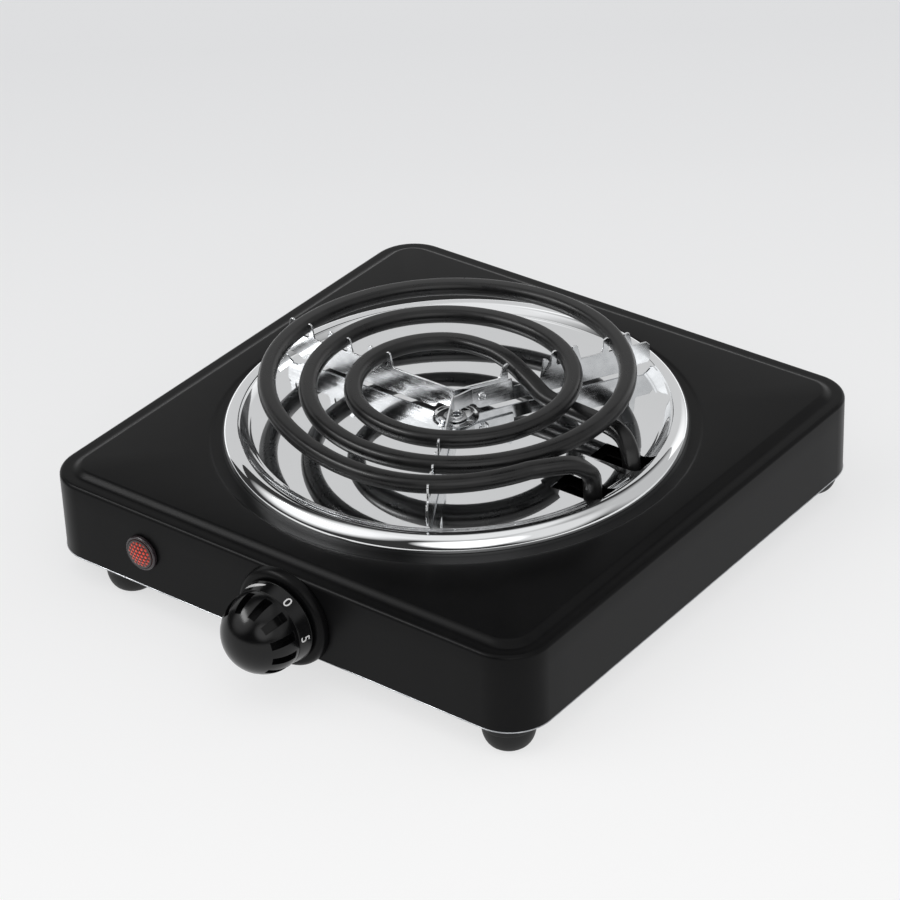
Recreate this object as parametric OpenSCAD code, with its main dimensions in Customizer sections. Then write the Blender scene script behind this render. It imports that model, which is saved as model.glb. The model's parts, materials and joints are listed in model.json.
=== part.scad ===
// Single hot plate with an open heating spiral, a chromed drip pan and a thermostat knob.
// The front, with the knob and the lamp, faces -Y. The plate stands on z = 0.

/* [Casing] */
// Width of the casing, left to right
casing_w = 230; // [215:1:280]
// Depth of the casing, front to back
casing_d = 231; // [215:1:280]
// Height of the casing's side walls
wall_h = 33.6; // [31:0.1:42]
// Radius of the casing's upright corners
corner_r = 18; // [15:0.5:26]
// Thickness of the casing's pressed steel
sheet_t = 0.8; // [0.6:0.1:1.2]
// Radius of the edge between a side wall and the ledge
edge_r = 1.4; // [1.3:0.1:2.5]
// Width of the flat ledge around the top
ledge_w = 5; // [3:0.5:7]
// Width of the slope from the ledge up to the raised panel
slope_w = 4; // [2:0.5:5]
// Height of the raised panel above the ledge
panel_rise = 2; // [1:0.1:3]
// Thickness of the base plate
base_t = 0.8; // [0.6:0.1:1.5]
// Gap between the base plate and the walls around it
base_gap = 0.4; // [0.2:0.1:1]

/* [Feet] */
// Height of the feet below the casing
foot_h = 11.5; // [9:0.5:16]
// Diameter of a foot at its top
foot_top_d = 21; // [18:0.5:23]
// Diameter of a foot at its bottom
foot_bottom_d = 16; // [14:0.5:17]
// Distance of the left feet from the left wall's outside
foot_left = 33; // [20:1:45]
// Distance of the right feet from the right wall's outside
foot_right = 15; // [14:1:45]
// Distance of the feet from the front and rear walls' outside
foot_inset = 12.5; // [12:0.5:20]

/* [Drip pan] */
// Outer diameter of the pan's rim
pan_d = 184; // [150:1:200]
// Height of the rim's crest above the panel
rim_h = 6.8; // [5:0.1:9]
// Width of the rim's rounded outer side
rim_out_w = 5; // [3:0.5:7]
// Width of the rim's inner side, from the crest down to the floor
rim_in_w = 8; // [6:0.5:10]
// Height of the pan's floor above the panel
floor_h = 4.3; // [3.5:0.1:5]
// Thickness of the pan's sheet
pan_t = 0.5; // [0.4:0.1:0.8]

/* [Heating spiral] */
// Diameter of the outer ring, between the middles of the tube
spiral_d = 149; // [140:1:155]
// Diameter of the heating tube
tube_d = 7.2; // [6:0.1:8.8]
// Height of the tube's middle above the panel
spiral_h = 19.5; // [18.5:0.1:24]
// Distance of the upright legs' middles inside the edge of the pan's floor
leg_margin = 3; // [2:0.5:6]
// Place of the outer leg, front to back
outer_leg_y = -15; // [-17:0.5:-14]
// Place of the inner leg, front to back
inner_leg_y = 11; // [10:0.5:14]
// Angle that the spiral lifts through for cleaning
lift_angle = 15; // [8:1:15]

/* [Support arms] */
// Thickness of the arms' strip
arm_t = 0.8; // [0.6:0.1:1.2]
// Distance that the arms reach beyond the outer ring's mean radius
arm_over = 9.5; // [8:0.5:12]
// Width of a tab beside the tube
tab_w = 2.4; // [1.5:0.1:3]

/* [Knob] */
// Place of the knob's axis, to the right of the middle
knob_x = 7; // [-20:0.5:30]
// Height of the knob's axis above the casing's bottom edge
knob_z = 15; // [13:0.5:18]
// Diameter of the knob's skirt
skirt_d = 34; // [32:0.5:38]
// Distance that the knob stands out from the wall
knob_l = 29; // [28:0.5:34]
// Radius of the knob's dome
dome_r = 16; // [15.5:0.1:17]
// Number of grips around the knob
grips = 12; // [8:1:16]
// Diameter of the ring behind the knob
bezel_d = 41; // [40:0.5:44]
// Thickness of the ring behind the knob
bezel_t = 4; // [3:0.5:5]
// Diameter of the thermostat's spindle
spindle_d = 6; // [5:0.1:7.4]

/* [Lamp] */
// Distance of the lamp to the left of the middle
lamp_x = 63.6; // [50:0.1:75]
// Height of the lamp above the casing's bottom edge
lamp_z = 16.3; // [14:0.1:18]
// Diameter of the lamp's rim
lamp_d = 14.6; // [13.6:0.1:17]
// Diameter of the lens
lens_d = 12; // [11:0.1:12.6]

/* [Rear] */
// Diameter of the cord that the gland takes
cord_d = 7; // [6:0.1:8]
// Distance of the cord gland to the right of the middle
gland_x = 66; // [60:1:70]
// Height of the cord gland above the casing's bottom edge
gland_z = 15; // [13:0.5:18]

/* [Hidden] */

$fn = 64;

// Running gap between a pin, a spindle or a screw and its hole, on the radius
run_gap = 0.05;
// Gap between pieces that move past each other
move_gap = 0.3;

// Heights, from the casing's bottom edge
panel_z = wall_h + panel_rise;
panel_under = panel_z - sheet_t;
pan_floor = panel_z + floor_h;
spiral_z = panel_z + spiral_h;
tube_r = tube_d / 2;

// Radii of the pan's crest, its floor and the legs' place
crest_r = pan_d / 2 - rim_out_w;
floor_r = crest_r - rim_in_w;
leg_x = floor_r - leg_margin;

// Places on the front and rear walls
front_y = -casing_d / 2;
rear_y = casing_d / 2;

// The knob stands out at the front and the gland at the rear
gland_flange_t = 2.5;
centre_y = (knob_l - gland_flange_t) / 2;

// Feet and the screws through them
foot_screw_r = 2;
foot_screw_head_r = 4;
foot_screw_head_t = 2.6;
foot_recess = 6;
foot_edge_r = 1.5;
tab_t = 1.2;
tab_size = 18;
tab_leg = 14;
foot_x = [-casing_w / 2 + foot_left, casing_w / 2 - foot_right];
foot_y = [front_y + foot_inset, rear_y - foot_inset];

// Pan screw in the middle
pan_screw_r = 2;
pan_screw_head_r = 4;
pan_screw_head_t = 2;
spacer_r = 6;

// Hinge of the spiral, with its axis along Y
hinge_drop = 6;
hinge_x = leg_x + tube_r + 4.4;
hinge_z = panel_z - hinge_drop;
hinge_pin_r = 1.5;
knuckle_r = 2.8;
clamp_t = 2;
knuckle_front = outer_leg_y + tube_r + 3.6;
knuckle_rear = inner_leg_y - tube_r - 3.2;
ear_t = 1.2;
leg_bottom = hinge_z - 6;
pin_wire_r = 1.2;
pin_l = 8;
seal_r = tube_r - 0.9;
seal_l = 3;

// Windows for the legs, with room for the lift
lift_shift = (panel_z + rim_h - hinge_z) * sin(lift_angle) + (hinge_x - leg_x) * (1 - cos(lift_angle));
window_front = leg_x + tube_r + lift_shift + 0.4;
window_back = leg_x - tube_r - 12;
window_half = tube_r + 2;

// Spiral: radius at stations along its length, in degrees from the outer end, at the rated diameter
rated_d = 149;
stations = [[0, 71], [40, 74], [90, 70.5], [160, 76.5], [240, 73], [320, 65.5], [400, 60],
    [460, 57], [530, 56.3], [600, 49.2], [690, 45.3], [780, 41.2], [860, 38], [920, 31.8], [950, 27.8]];
spiral_start = -24;
spiral_end = 950;
flat_top = 0.82;

// Support arms
arm_reach = spiral_d / 2 + arm_over;
arm_top = spiral_z - tube_r - 0.1;
inner_end_r = 29;
arm_bottom = pan_floor + move_gap;
hub_relief = 9;
tab_top = spiral_z + 1.5;
rivet_r = 1.6;
flange_l = 17;
flange_start = 7;
rivet_at = flange_start + 4;

// Thermostat, as depths behind the front wall's outer face
bush_r = spindle_d / 2 + 2;
flange_r = bush_r + 2;
nut_r = bush_r + 3.4;
frame_u = 4;
frame_t = 1.2;
stack_x = 16;
stack_r = 5;
ring_1 = 6.8;
blade_t = 0.5;
ring_2 = 3.5;
ring_3 = 2;
bimetal_t = 0.8;
blade_w = 8;
stack_rivet_r = 1.5;
fixed_u = frame_u + frame_t + ring_1;
moving_u = fixed_u + blade_t + ring_2;
bimetal_u = moving_u + blade_t + ring_3;
contact_r = 2;
contact_t = 1.15;
contact_x = -9;
pin_r = 1.5;
pin_travel = 0.6;
spindle_end = frame_u + frame_t + 4;
hub_r = spindle_d / 2 + 3;

// Lamp
holder_r = 6.1;
lamp_flange_t = 1.6;

// Terminal block on the rear wall
block_x = 34;
block_w = 34;
block_h = 14;
block_deep = 16;
block_z = 17;
pole_r = 2;

// Cord gland and clamp
gland_bore_r = cord_d / 2 + 0.2;
gland_barrel_r = gland_bore_r + 1.8;
gland_flange_r = gland_barrel_r + 2.2;
clamp_y = rear_y - 24;
saddle_t = 1.5;
clamp_w = 30;
clamp_d = 8;
clamp_screw_x = 11;

// Earth screw on the rear wall
earth_x = gland_x + 20;
earth_z = 15;
earth_r = 2;

wire_r = 1.1;

module at_home() translate([0, centre_y, foot_h]) children();

// A rod along +Y from depth u0 to u1 behind the front wall's outer face
module rod(r, u0, u1) translate([0, front_y + u0, 0]) rotate([-90, 0, 0]) cylinder(r = r, h = u1 - u0);

// A block with its lowest corner at c and the size s
module block(c, s) translate(c) cube(s);

function unit(v) = v / norm(v);

// A smooth line through the points p, with n steps from each point to the next
function smooth_line(p, n) = concat([for (i = [0:len(p) - 2], k = [0:n - 1])
    let (a = p[max(i - 1, 0)], b = p[i], c = p[i + 1], d = p[min(i + 2, len(p) - 1)], t = k / n)
    0.5 * (2 * b + (c - a) * t + (2 * a - 5 * b + 4 * c - d) * t * t + (3 * b - a - 3 * c + d) * t * t * t)],
    [p[len(p) - 1]]);

function directions(p) = [for (i = [0:len(p) - 1]) unit(p[min(i + 1, len(p) - 1)] - p[max(i - 1, 0)])];

// Side vectors that turn with the line and never twist around it
function side_vectors(t, s, i = 0, found = []) = i == len(t) ? found :
    let (side = unit(s - (s * t[i]) * t[i])) side_vectors(t, side, i + 1, concat(found, [side]));

// A round bar of radius r along the points p; flat < 1 takes the top off it
module bar_along(p, r, sides, first_side, flat = 1) {
    n = len(p);
    t = directions(p);
    s = side_vectors(t, first_side);
    rings = [for (i = [0:n - 1]) let (up = cross(s[i], t[i])) for (k = [0:sides - 1])
        let (a = 360 * k / sides) p[i] + r * (cos(a) * s[i] + min(sin(a), flat) * up)];
    walls = [for (i = [0:n - 2], k = [0:sides - 1]) let (k2 = (k + 1) % sides)
        [i * sides + k, (i + 1) * sides + k, (i + 1) * sides + k2, i * sides + k2]];
    polyhedron(concat(rings), concat(walls, [[for (k = [0:sides - 1]) k],
        [for (k = [sides - 1:-1:0]) (n - 1) * sides + k]]));
}

module rounded_area(w, d, r) {
    square([w, d - 2 * r], center = true);
    square([w - 2 * r, d], center = true);
    for (x = [-1, 1], y = [-1, 1]) translate([x * (w / 2 - r), y * (d / 2 - r)]) circle(r);
}

// The profile in children, swept around a rectangle w x d whose corners have the radius r.
// The profile's x counts outwards from the corner's centre, and its y is the height.
module swept_around(w, d, r) {
    for (k = [0:3]) {
        a = k % 2 == 0 ? w : d;
        b = k % 2 == 0 ? d : w;
        rotate(90 * k) translate([a / 2 - r, b / 2 - r, 0]) {
            rotate([90, 0, 0]) linear_extrude(b - 2 * r) children();
            rotate_extrude(angle = 90) children();
        }
    }
}

// Wall, rounded edge, ledge and slope of the casing, as one bent strip
module wall_profile() {
    slope_end = corner_r - ledge_w - slope_w;
    inner_edge = edge_r - sheet_t;
    polygon(concat(
        [[corner_r, 0]],
        [for (a = [0:15:90]) [corner_r - edge_r + edge_r * cos(a), wall_h - edge_r + edge_r * sin(a)]],
        [[corner_r - ledge_w, wall_h], [slope_end, panel_z], [slope_end - 1, panel_z],
            [slope_end - 1, panel_under], [slope_end, panel_under], [corner_r - ledge_w, wall_h - sheet_t]],
        [for (a = [90:-30:0]) [corner_r - edge_r + inner_edge * cos(a), wall_h - edge_r + inner_edge * sin(a)]],
        [[corner_r - sheet_t, 0]]));
}

module casing() color("#1c1c1e") at_home() {
    top_r = corner_r - ledge_w - slope_w;
    top_w = casing_w - 2 * (ledge_w + slope_w);
    top_d = casing_d - 2 * (ledge_w + slope_w);
    difference() {
        union() {
            swept_around(casing_w, casing_d, corner_r) wall_profile();
            translate([0, 0, panel_under]) linear_extrude(sheet_t) rounded_area(top_w, top_d, top_r);
        }
        translate([knob_x, 0, knob_z]) rod(bush_r + run_gap, -1, sheet_t + 1);
        for (x = [-1, 1]) translate([knob_x + x * bezel_peg_x, 0, knob_z]) rod(bezel_peg_r + run_gap, -1, sheet_t + 1);
        translate([-lamp_x, 0, lamp_z]) rod(holder_r + run_gap, -1, sheet_t + 1);
        translate([gland_x, 0, gland_z]) rod(gland_barrel_r + run_gap, casing_d - sheet_t - 1, casing_d + 1);
        translate([block_x, 0, block_z]) rod(foot_screw_r * 0.75 + run_gap, casing_d - sheet_t - 1, casing_d + 1);
        translate([earth_x, 0, earth_z]) rod(earth_r + run_gap, casing_d - sheet_t - 1, casing_d + 1);
        translate([0, 0, panel_under - 1]) cylinder(r = pan_screw_r + run_gap, h = sheet_t + 2);
        leg_windows(panel_under - 1, sheet_t + 2);
    }
}

// The two openings that the legs pass through
module leg_windows(z, h) {
    for (y = [outer_leg_y, inner_leg_y])
        block([window_back, y - window_half, z], [window_front - window_back, 2 * window_half, h]);
}

bezel_peg_x = 14.5;
bezel_peg_r = 1.5;

module base_plate() color("#2a2a2c") at_home() {
    gap = sheet_t + base_gap;
    slot_l = 26;
    slot_r = 1.6;
    difference() {
        linear_extrude(base_t) difference() {
            rounded_area(casing_w - 2 * gap, casing_d - 2 * gap, corner_r - gap);
            for (x = [-1, 1], i = [-4:4]) translate([x * 42, i * 9]) {
                square([slot_l, 2 * slot_r], center = true);
                for (e = [-1, 1]) translate([e * slot_l / 2, 0]) circle(slot_r);
            }
        }
        for (x = foot_x, y = foot_y) translate([x, y, -1]) cylinder(r = foot_screw_r + run_gap, h = base_t + 2);
    }
}

// Angle pieces inside the casing that the foot screws hold the base plate to
module corner_tabs() color("#8d9093") at_home() intersection() {
    for (x = foot_x, s = [-1, 1]) translate([x, 0, 0]) scale_y(s) corner_tab();
    translate([0, 0, base_t]) linear_extrude(tab_leg)
        rounded_area(casing_w - 2 * sheet_t, casing_d - 2 * sheet_t, corner_r);
}

module corner_tab() {
    wall_y = casing_d / 2 - sheet_t;
    difference() {
        union() {
            block([-tab_size / 2, wall_y - tab_size, base_t], [tab_size, tab_size, tab_t]);
            block([-tab_size / 2, wall_y - tab_t, base_t], [tab_size, tab_t, tab_leg]);
        }
        translate([0, casing_d / 2 - foot_inset, 0]) cylinder(r = foot_screw_r + run_gap, h = 10);
    }
}

module scale_y(s) {
    if (s > 0) children();
    else mirror([0, 1, 0]) children();
}

module feet() color("#141414") at_home() for (x = foot_x, y = foot_y) translate([x, y, 0])
    rotate_extrude() polygon(concat(
        [[foot_screw_r + run_gap, 0], [foot_top_d / 2, 0], [foot_top_d / 2, -2.5]],
        [for (a = [0:15:90]) [foot_bottom_d / 2 - foot_edge_r + foot_edge_r * cos(a),
            -foot_h + foot_edge_r - foot_edge_r * sin(a)]],
        [[foot_screw_head_r + 0.6, -foot_h], [foot_screw_head_r + 0.6, foot_recess - foot_h],
            [foot_screw_r + run_gap, foot_recess - foot_h]]));

module foot_screws() color("#c4c8cc") at_home() for (x = foot_x, y = foot_y) translate([x, y, 0])
    difference() {
        union() {
            translate([0, 0, foot_recess - foot_h]) cylinder(r = foot_screw_r, h = foot_h - foot_recess + 6);
            translate([0, 0, foot_recess - foot_h - foot_screw_head_t])
                cylinder(r = foot_screw_head_r, h = foot_screw_head_t);
        }
        for (a = [0, 90]) translate([0, 0, foot_recess - foot_h - foot_screw_head_t]) rotate(a)
            cube([5, 0.9, 2.4], center = true);
    }

// Line of the pan's sheet from the outer edge to the floor; drop is how far inside it lies
function pan_line(drop) = concat(
    [for (a = [0:15:90]) [crest_r + (rim_out_w - drop) * cos(a), panel_z + (rim_h - drop) * sin(a)]],
    [for (a = [30:30:180]) [crest_r - rim_in_w * a / 180,
        pan_floor - drop + (rim_h - floor_h) * (1 + cos(a)) / 2]]);

module drip_pan() color("#d9dbdd") at_home() difference() {
    rotate(180) rotate_extrude($fn = 120) polygon(concat(pan_line(0), [[0, pan_floor]], [[0, pan_floor - pan_t]],
        [for (i = [len(pan_line(0)) - 1:-1:0]) pan_line(pan_t)[i]]));
    translate([0, 0, pan_floor - 2]) cylinder(r = pan_screw_r + run_gap, h = 4);
    leg_windows(panel_z + 1, rim_h);
}

module pan_spacer() color("#b9bcbf") at_home() translate([0, 0, panel_z]) difference() {
    cylinder(r = spacer_r, h = floor_h - pan_t);
    translate([0, 0, -1]) cylinder(r = pan_screw_r + run_gap, h = floor_h + 2);
}

module pan_screw() color("#c4c8cc") at_home() difference() {
    union() {
        translate([0, 0, panel_under - 5]) cylinder(r = pan_screw_r, h = pan_floor - panel_under + 5);
        translate([0, 0, pan_floor]) cylinder(r = pan_screw_head_r, h = pan_screw_head_t);
    }
    for (a = [0, 90]) translate([0, 0, pan_floor + pan_screw_head_t]) rotate(a)
        cube([5, 0.9, 2], center = true);
}

module pan_nut() color("#b9bcbf") at_home() translate([0, 0, panel_under - 3.2]) difference() {
    cylinder(r = 4.04, h = 3.2, $fn = 6);
    translate([0, 0, -1]) cylinder(r = pan_screw_r + run_gap, h = 6);
}

// Radius of the spiral at s degrees from its outer end
function station_r(s, i = 0) = s <= stations[i + 1][0] || i == len(stations) - 2 ?
    let (n = len(stations) - 1, a = stations[max(i - 1, 0)], b = stations[i], c = stations[i + 1],
        d = stations[min(i + 2, n)], h = c[0] - b[0], t = (s - b[0]) / h,
        mb = h * (c[1] - a[1]) / (c[0] - a[0]), mc = h * (d[1] - b[1]) / (d[0] - b[0]))
    (2 * t * t * t - 3 * t * t + 1) * b[1] + (t * t * t - 2 * t * t + t) * mb
        + (3 * t * t - 2 * t * t * t) * c[1] + (t * t * t - t * t) * mc
    : station_r(s, i + 1);
function spiral_r(s) = station_r(s) * spiral_d / rated_d;
function spiral_point(s) = let (a = spiral_start - s) [spiral_r(s) * cos(a), spiral_r(s) * sin(a), 0];

// Outer end: up from its leg, then round into the spiral. Inner end: down under the rings to its leg.
leg_end = leg_bottom - spiral_z;
outer_end = [[leg_x, outer_leg_y, -14], [leg_x, outer_leg_y - 0.8, -8],
    [leg_x - 1, outer_leg_y - 4.2, -3.2], [leg_x - 4.5, outer_leg_y - 9, -0.4]];
inner_end = [[0, 27, -0.3], [9, 26, -2], [19, 24, -5.6], [30, 20.8, -8.4], [46, 19.8, -9], [60, 18.8, -9.2],
    [leg_x - 8, inner_leg_y + 5.4, -9.8], [leg_x - 3, inner_leg_y + 2.4, -12.4],
    [leg_x - 0.5, inner_leg_y + 0.4, -17], [leg_x, inner_leg_y, -21]];
tube_line = concat([[leg_x, outer_leg_y, leg_end]], smooth_line(concat(outer_end, [spiral_point(6)]), 3),
    [for (s = [12:9:spiral_end - 8]) spiral_point(s)],
    smooth_line(concat([spiral_point(spiral_end)], inner_end), 3), [[leg_x, inner_leg_y, leg_end]]);

module heating_tube() color("#303032") at_home() translate([0, 0, spiral_z])
    bar_along(tube_line, tube_r, 12, [-1, 0, 0], flat_top);

module at_legs() at_home() for (y = [outer_leg_y, inner_leg_y]) translate([leg_x, y, leg_bottom]) children();

module end_seals() color("#e9e6dc") at_legs() difference() {
    translate([0, 0, -seal_l]) cylinder(r = seal_r, h = seal_l);
    translate([0, 0, -seal_l - 1]) cylinder(r = pin_wire_r, h = seal_l + 2);
}

module terminal_pins() color("#b8bcc0") at_legs() translate([0, 0, -pin_l])
    cylinder(r = pin_wire_r, h = pin_l);

// How far along the spiral it crosses the direction a for the k-th time
function crossing(a, k) = let (s = spiral_start - a) (s < 0 ? s + 360 : s % 360) + 360 * k;

// Side view of an arm: x runs out from the middle, y is the height
module arm_profile(a, from) difference() {
    union() {
        translate([from, arm_bottom]) square([floor_r - 0.5 - from, arm_top - arm_bottom]);
        translate([from, panel_z + rim_h + move_gap])
            square([arm_reach - from, arm_top - panel_z - rim_h - move_gap]);
        for (k = [0:2]) if (crossing(a, k) < spiral_end - 40) let (r = spiral_r(crossing(a, k)))
            for (e = [-1, 1]) translate([r + e * (tube_r + 0.4 + tab_w / 2) - tab_w / 2, arm_top - 1])
                square([tab_w, tab_top - arm_top + 1]);
    }
    translate([-1, arm_bottom - 1]) square([hub_relief + 1, 1 + pan_screw_head_t + 1.5]);
    // Room for the tube's inner end, where it starts down
    if (a == 60) translate([inner_end_r - tube_r - 4, spiral_z - tube_r - 5.2])
        square([2 * tube_r + 9, tube_r + 20]);
}

module arm_strip(a, from) rotate(a) rotate([90, 0, 0]) translate([0, 0, -arm_t / 2]) linear_extrude(arm_t)
    arm_profile(a, from);

module rivet_hole(r, l) rotate(60) translate([rivet_at, 0, (arm_top + arm_bottom) / 2])
    rotate([90, 0, 0]) cylinder(r = r, h = l, center = true);

module arm_pair() color("#c9cccf") at_home() difference() {
    union() {
        arm_strip(180, 0);
        arm_strip(60, 0);
        translate([0, 0, arm_bottom + pan_screw_head_t + 1.5])
            cylinder(r = arm_t / 2, h = arm_top - arm_bottom - pan_screw_head_t - 1.5);
    }
    rivet_hole(rivet_r + run_gap, 10);
}

// The third arm: its flange lies along the second arm's right side and is riveted to it
module single_arm() color("#c2c5c8") at_home() difference() {
    union() {
        arm_strip(-60, 4);
        rotate(60) translate([flange_start, -arm_t * 1.5, arm_bottom + 4])
            cube([flange_l, arm_t, arm_top - arm_bottom - 5]);
        bend_between();
    }
    rivet_hole(rivet_r + run_gap, 10);
}

// Short bent piece that joins the third arm to its flange
module bend_between() {
    from = [4 * cos(60), -4 * sin(60)];
    to = [flange_start * cos(60) + arm_t * sin(60), flange_start * sin(60) - arm_t * cos(60)];
    translate([0, 0, arm_bottom + 4]) linear_extrude(arm_top - arm_bottom - 5) hull() {
        translate(from) circle(arm_t / 2, $fn = 24);
        translate(to) circle(arm_t / 2, $fn = 24);
    }
}

module arm_rivet() color("#d5d7d9") at_home() rotate(60)
    translate([rivet_at, -arm_t / 2, (arm_top + arm_bottom) / 2]) rotate([90, 0, 0]) {
        cylinder(r = rivet_r, h = 2 * arm_t, center = true);
        for (s = [-1, 1]) translate([0, 0, s * (arm_t + 0.4)]) cylinder(r = rivet_r * 1.6, h = 0.8, center = true);
    }

// Clamp that holds both legs, with the hinge's knuckle on its edge
module leg_clamp() color("#9a9ea2") at_home() difference() {
    union() {
        block([leg_x - tube_r - 2.5, outer_leg_y - tube_r - 2.5, hinge_z - clamp_t / 2],
            [2 * tube_r + 3.2, inner_leg_y - outer_leg_y + 2 * tube_r + 5, clamp_t]);
        block([leg_x, knuckle_front, hinge_z - clamp_t / 2], [hinge_x - leg_x, knuckle_rear - knuckle_front, clamp_t]);
        translate([hinge_x, knuckle_front, hinge_z]) rotate([-90, 0, 0])
            cylinder(r = knuckle_r, h = knuckle_rear - knuckle_front);
    }
    for (y = [outer_leg_y, inner_leg_y]) translate([leg_x, y, hinge_z - 5]) cylinder(r = tube_r, h = 10);
    translate([hinge_x, knuckle_front - 1, hinge_z]) rotate([-90, 0, 0])
        cylinder(r = hinge_pin_r + run_gap, h = knuckle_rear - knuckle_front + 2);
}

ear_front = knuckle_front - move_gap - ear_t;
ear_rear = knuckle_rear + move_gap;
module hinge_bracket() color("#8d9093") at_home() difference() {
    union() {
        block([window_front + 1, ear_front, panel_under - ear_t],
            [12, ear_rear + ear_t - ear_front, ear_t]);
        for (y = [ear_front, ear_rear]) block([hinge_x - knuckle_r, y, hinge_z - 3.5],
            [window_front + 13 - hinge_x + knuckle_r, ear_t, panel_under - hinge_z + 3.5 - ear_t]);
    }
    translate([hinge_x, ear_front - 1, hinge_z]) rotate([-90, 0, 0]) cylinder(r = hinge_pin_r + run_gap, h = 30);
}

module hinge_pin() color("#c4c8cc") at_home() translate([hinge_x, ear_front - 2, hinge_z]) rotate([-90, 0, 0])
    cylinder(r = hinge_pin_r, h = ear_rear + ear_t - ear_front + 4);

module pin_clips() color("#a5a8ab") at_home() for (y = [ear_front - 0.6, ear_rear + ear_t])
    translate([hinge_x, y, hinge_z]) rotate([-90, 0, 0]) difference() {
        cylinder(r = hinge_pin_r + 1.2, h = 0.6);
        translate([0, 0, -1]) cylinder(r = hinge_pin_r, h = 3);
    }

module on_knob_axis() at_home() translate([knob_x, 0, knob_z]) children();

// Knob: x is the radius and y the distance out from the wall
knob_back = bezel_t + 0.6;
dome_v = knob_l - dome_r;
core_r = dome_r - 2.4;
grip_front = dome_v + 5;
module knob() color("#161618") on_knob_axis() difference() {
    translate([0, front_y, 0]) rotate([90, 0, 0]) {
        rotate_extrude() polygon(concat(
            [[0, knob_back], [skirt_d / 2 - 0.6, knob_back], [skirt_d / 2, knob_back + 0.6],
                [skirt_d / 2 - 0.4, knob_back + 2], [core_r + 1, knob_back + 5.4], [core_r, grip_front]],
            [for (a = [20:10:90]) [dome_r * cos(a), dome_v + dome_r * sin(a)]]));
        for (i = [0:grips - 1]) rotate(360 * i / grips)
            translate([core_r - 1, -2.1, knob_back + 5]) cube([2.6, 4.2, grip_front - knob_back - 4.5]);
    }
    // Hollow behind the skirt, around the hub
    translate([0, front_y, 0]) rotate([90, 0, 0]) translate([0, 0, knob_back - 1]) difference() {
        cylinder(r = core_r - 2.2, h = 12);
        translate([0, 0, -1]) cylinder(r = hub_r, h = 14);
    }
    // Bore with a flat, and a slot for the spring
    difference() {
        rod(spindle_d / 2 + run_gap, -20, 0);
        translate([-5, front_y - 21, spindle_flat + run_gap]) cube([10, 22, 10]);
    }
    translate([-2, front_y - 15, spindle_flat]) cube([4, 15, 0.5]);
}

spindle_flat = spindle_d / 2 - 1.2;
module knob_spring() color("#d8dade") on_knob_axis() translate([-1.9, front_y - 14.9, spindle_flat + 0.08])
    cube([3.8, 9, 0.36]);

module spindle() color("#c9b26a") on_knob_axis() difference() {
    union() {
        rod(spindle_d / 2, -19.5, spindle_end);
        rod(pin_r, spindle_end - 1, spindle_end + 1);
    }
    translate([-5, front_y - 21, spindle_flat]) cube([10, 21 - bezel_t, 10]);
}

module knob_bezel() color("#131315") on_knob_axis() {
    translate([0, front_y, 0]) rotate([90, 0, 0]) rotate_extrude() polygon(concat(
        [[nut_r + 1, 0], [bezel_d / 2, 0], [bezel_d / 2, 1.2]],
        [for (a = [0:15:90]) [bezel_d / 2 - 2.4 + 2 * cos(a), bezel_t - 2 + 2 * sin(a)]],
        [[skirt_d / 2 - 2, bezel_t], [skirt_d / 2 - 2.4, bezel_t - 0.8], [nut_r + 1, bezel_t - 0.8]]));
    for (x = [-1, 1]) translate([x * bezel_peg_x, 0, 0]) rod(bezel_peg_r, -1, sheet_t + 1.4);
}

module bush_nut() color("#b9bcbf") on_knob_axis() difference() {
    translate([0, front_y, 0]) rotate([90, 0, 0]) cylinder(r = nut_r, h = 2.4, $fn = 6);
    rod(bush_r + run_gap, -4, 1);
}

module spindle_bush() color("#c9b26a") on_knob_axis() difference() {
    union() {
        rod(bush_r, -3, sheet_t);
        rod(flange_r, sheet_t, frame_u);
        rod(bush_r - 1, frame_u, frame_u + frame_t + 1);
    }
    rod(spindle_d / 2 + run_gap, -5, 20);
}

module thermostat_frame() color("#aab0b4") on_knob_axis() difference() {
    union() {
        translate([-22, front_y + frame_u, -9]) cube([stack_x + 30, frame_t, 18]);
        translate([-22, front_y + frame_u, -9]) cube([frame_t, 8, 18]);
    }
    rod(bush_r - 1 + run_gap, 0, 20);
    translate([stack_x, 0, 0]) rod(stack_rivet_r + run_gap, 0, 20);
    for (x = [-1, 1]) translate([x * bezel_peg_x, 0, 0]) rod(bezel_peg_r + 0.6, 0, 20);
}

module on_stack(r, u0, u1) translate([stack_x, 0, 0]) difference() {
    rod(r, u0, u1);
    rod(stack_rivet_r + run_gap, u0 - 1, u1 + 1);
}

module ceramic_rings() color("#efece2") on_knob_axis() {
    on_stack(stack_r, frame_u + frame_t, fixed_u);
    on_stack(stack_r, fixed_u + blade_t, moving_u);
    on_stack(stack_r, moving_u + blade_t, bimetal_u);
}

// A blade from x0 to x1, with a hole for the stack's rivet
module blade(u, t, x0, x1, w) difference() {
    translate([x0, front_y + u, -w / 2]) cube([x1 - x0, t, w]);
    translate([stack_x, 0, 0]) rod(stack_rivet_r + run_gap, u - 1, u + t + 1);
}

module fixed_blade() color("#c8a24a") on_knob_axis() difference() {
    blade(fixed_u, blade_t, contact_x - 4, stack_x + 14, blade_w);
    rod(pin_r + run_gap, fixed_u - 1, fixed_u + 2);
}

module fixed_contact() color("#e3e3e3") on_knob_axis() translate([contact_x, 0, 0])
    rod(contact_r, fixed_u + blade_t, fixed_u + blade_t + contact_t);

module blade_root() color("#c8a24a") on_knob_axis()
    blade(moving_u, blade_t, stack_x - stack_r - 0.2, stack_x + 10, blade_w);

module moving_blade() color("#d2ad55") on_knob_axis()
    translate([contact_x - 4, front_y + moving_u, -blade_w / 2])
        cube([stack_x - stack_r - 0.5 - contact_x + 4, blade_t, blade_w]);

module moving_contact() color("#e3e3e3") on_knob_axis() translate([contact_x, 0, 0])
    rod(contact_r, moving_u - contact_t, moving_u);

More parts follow.
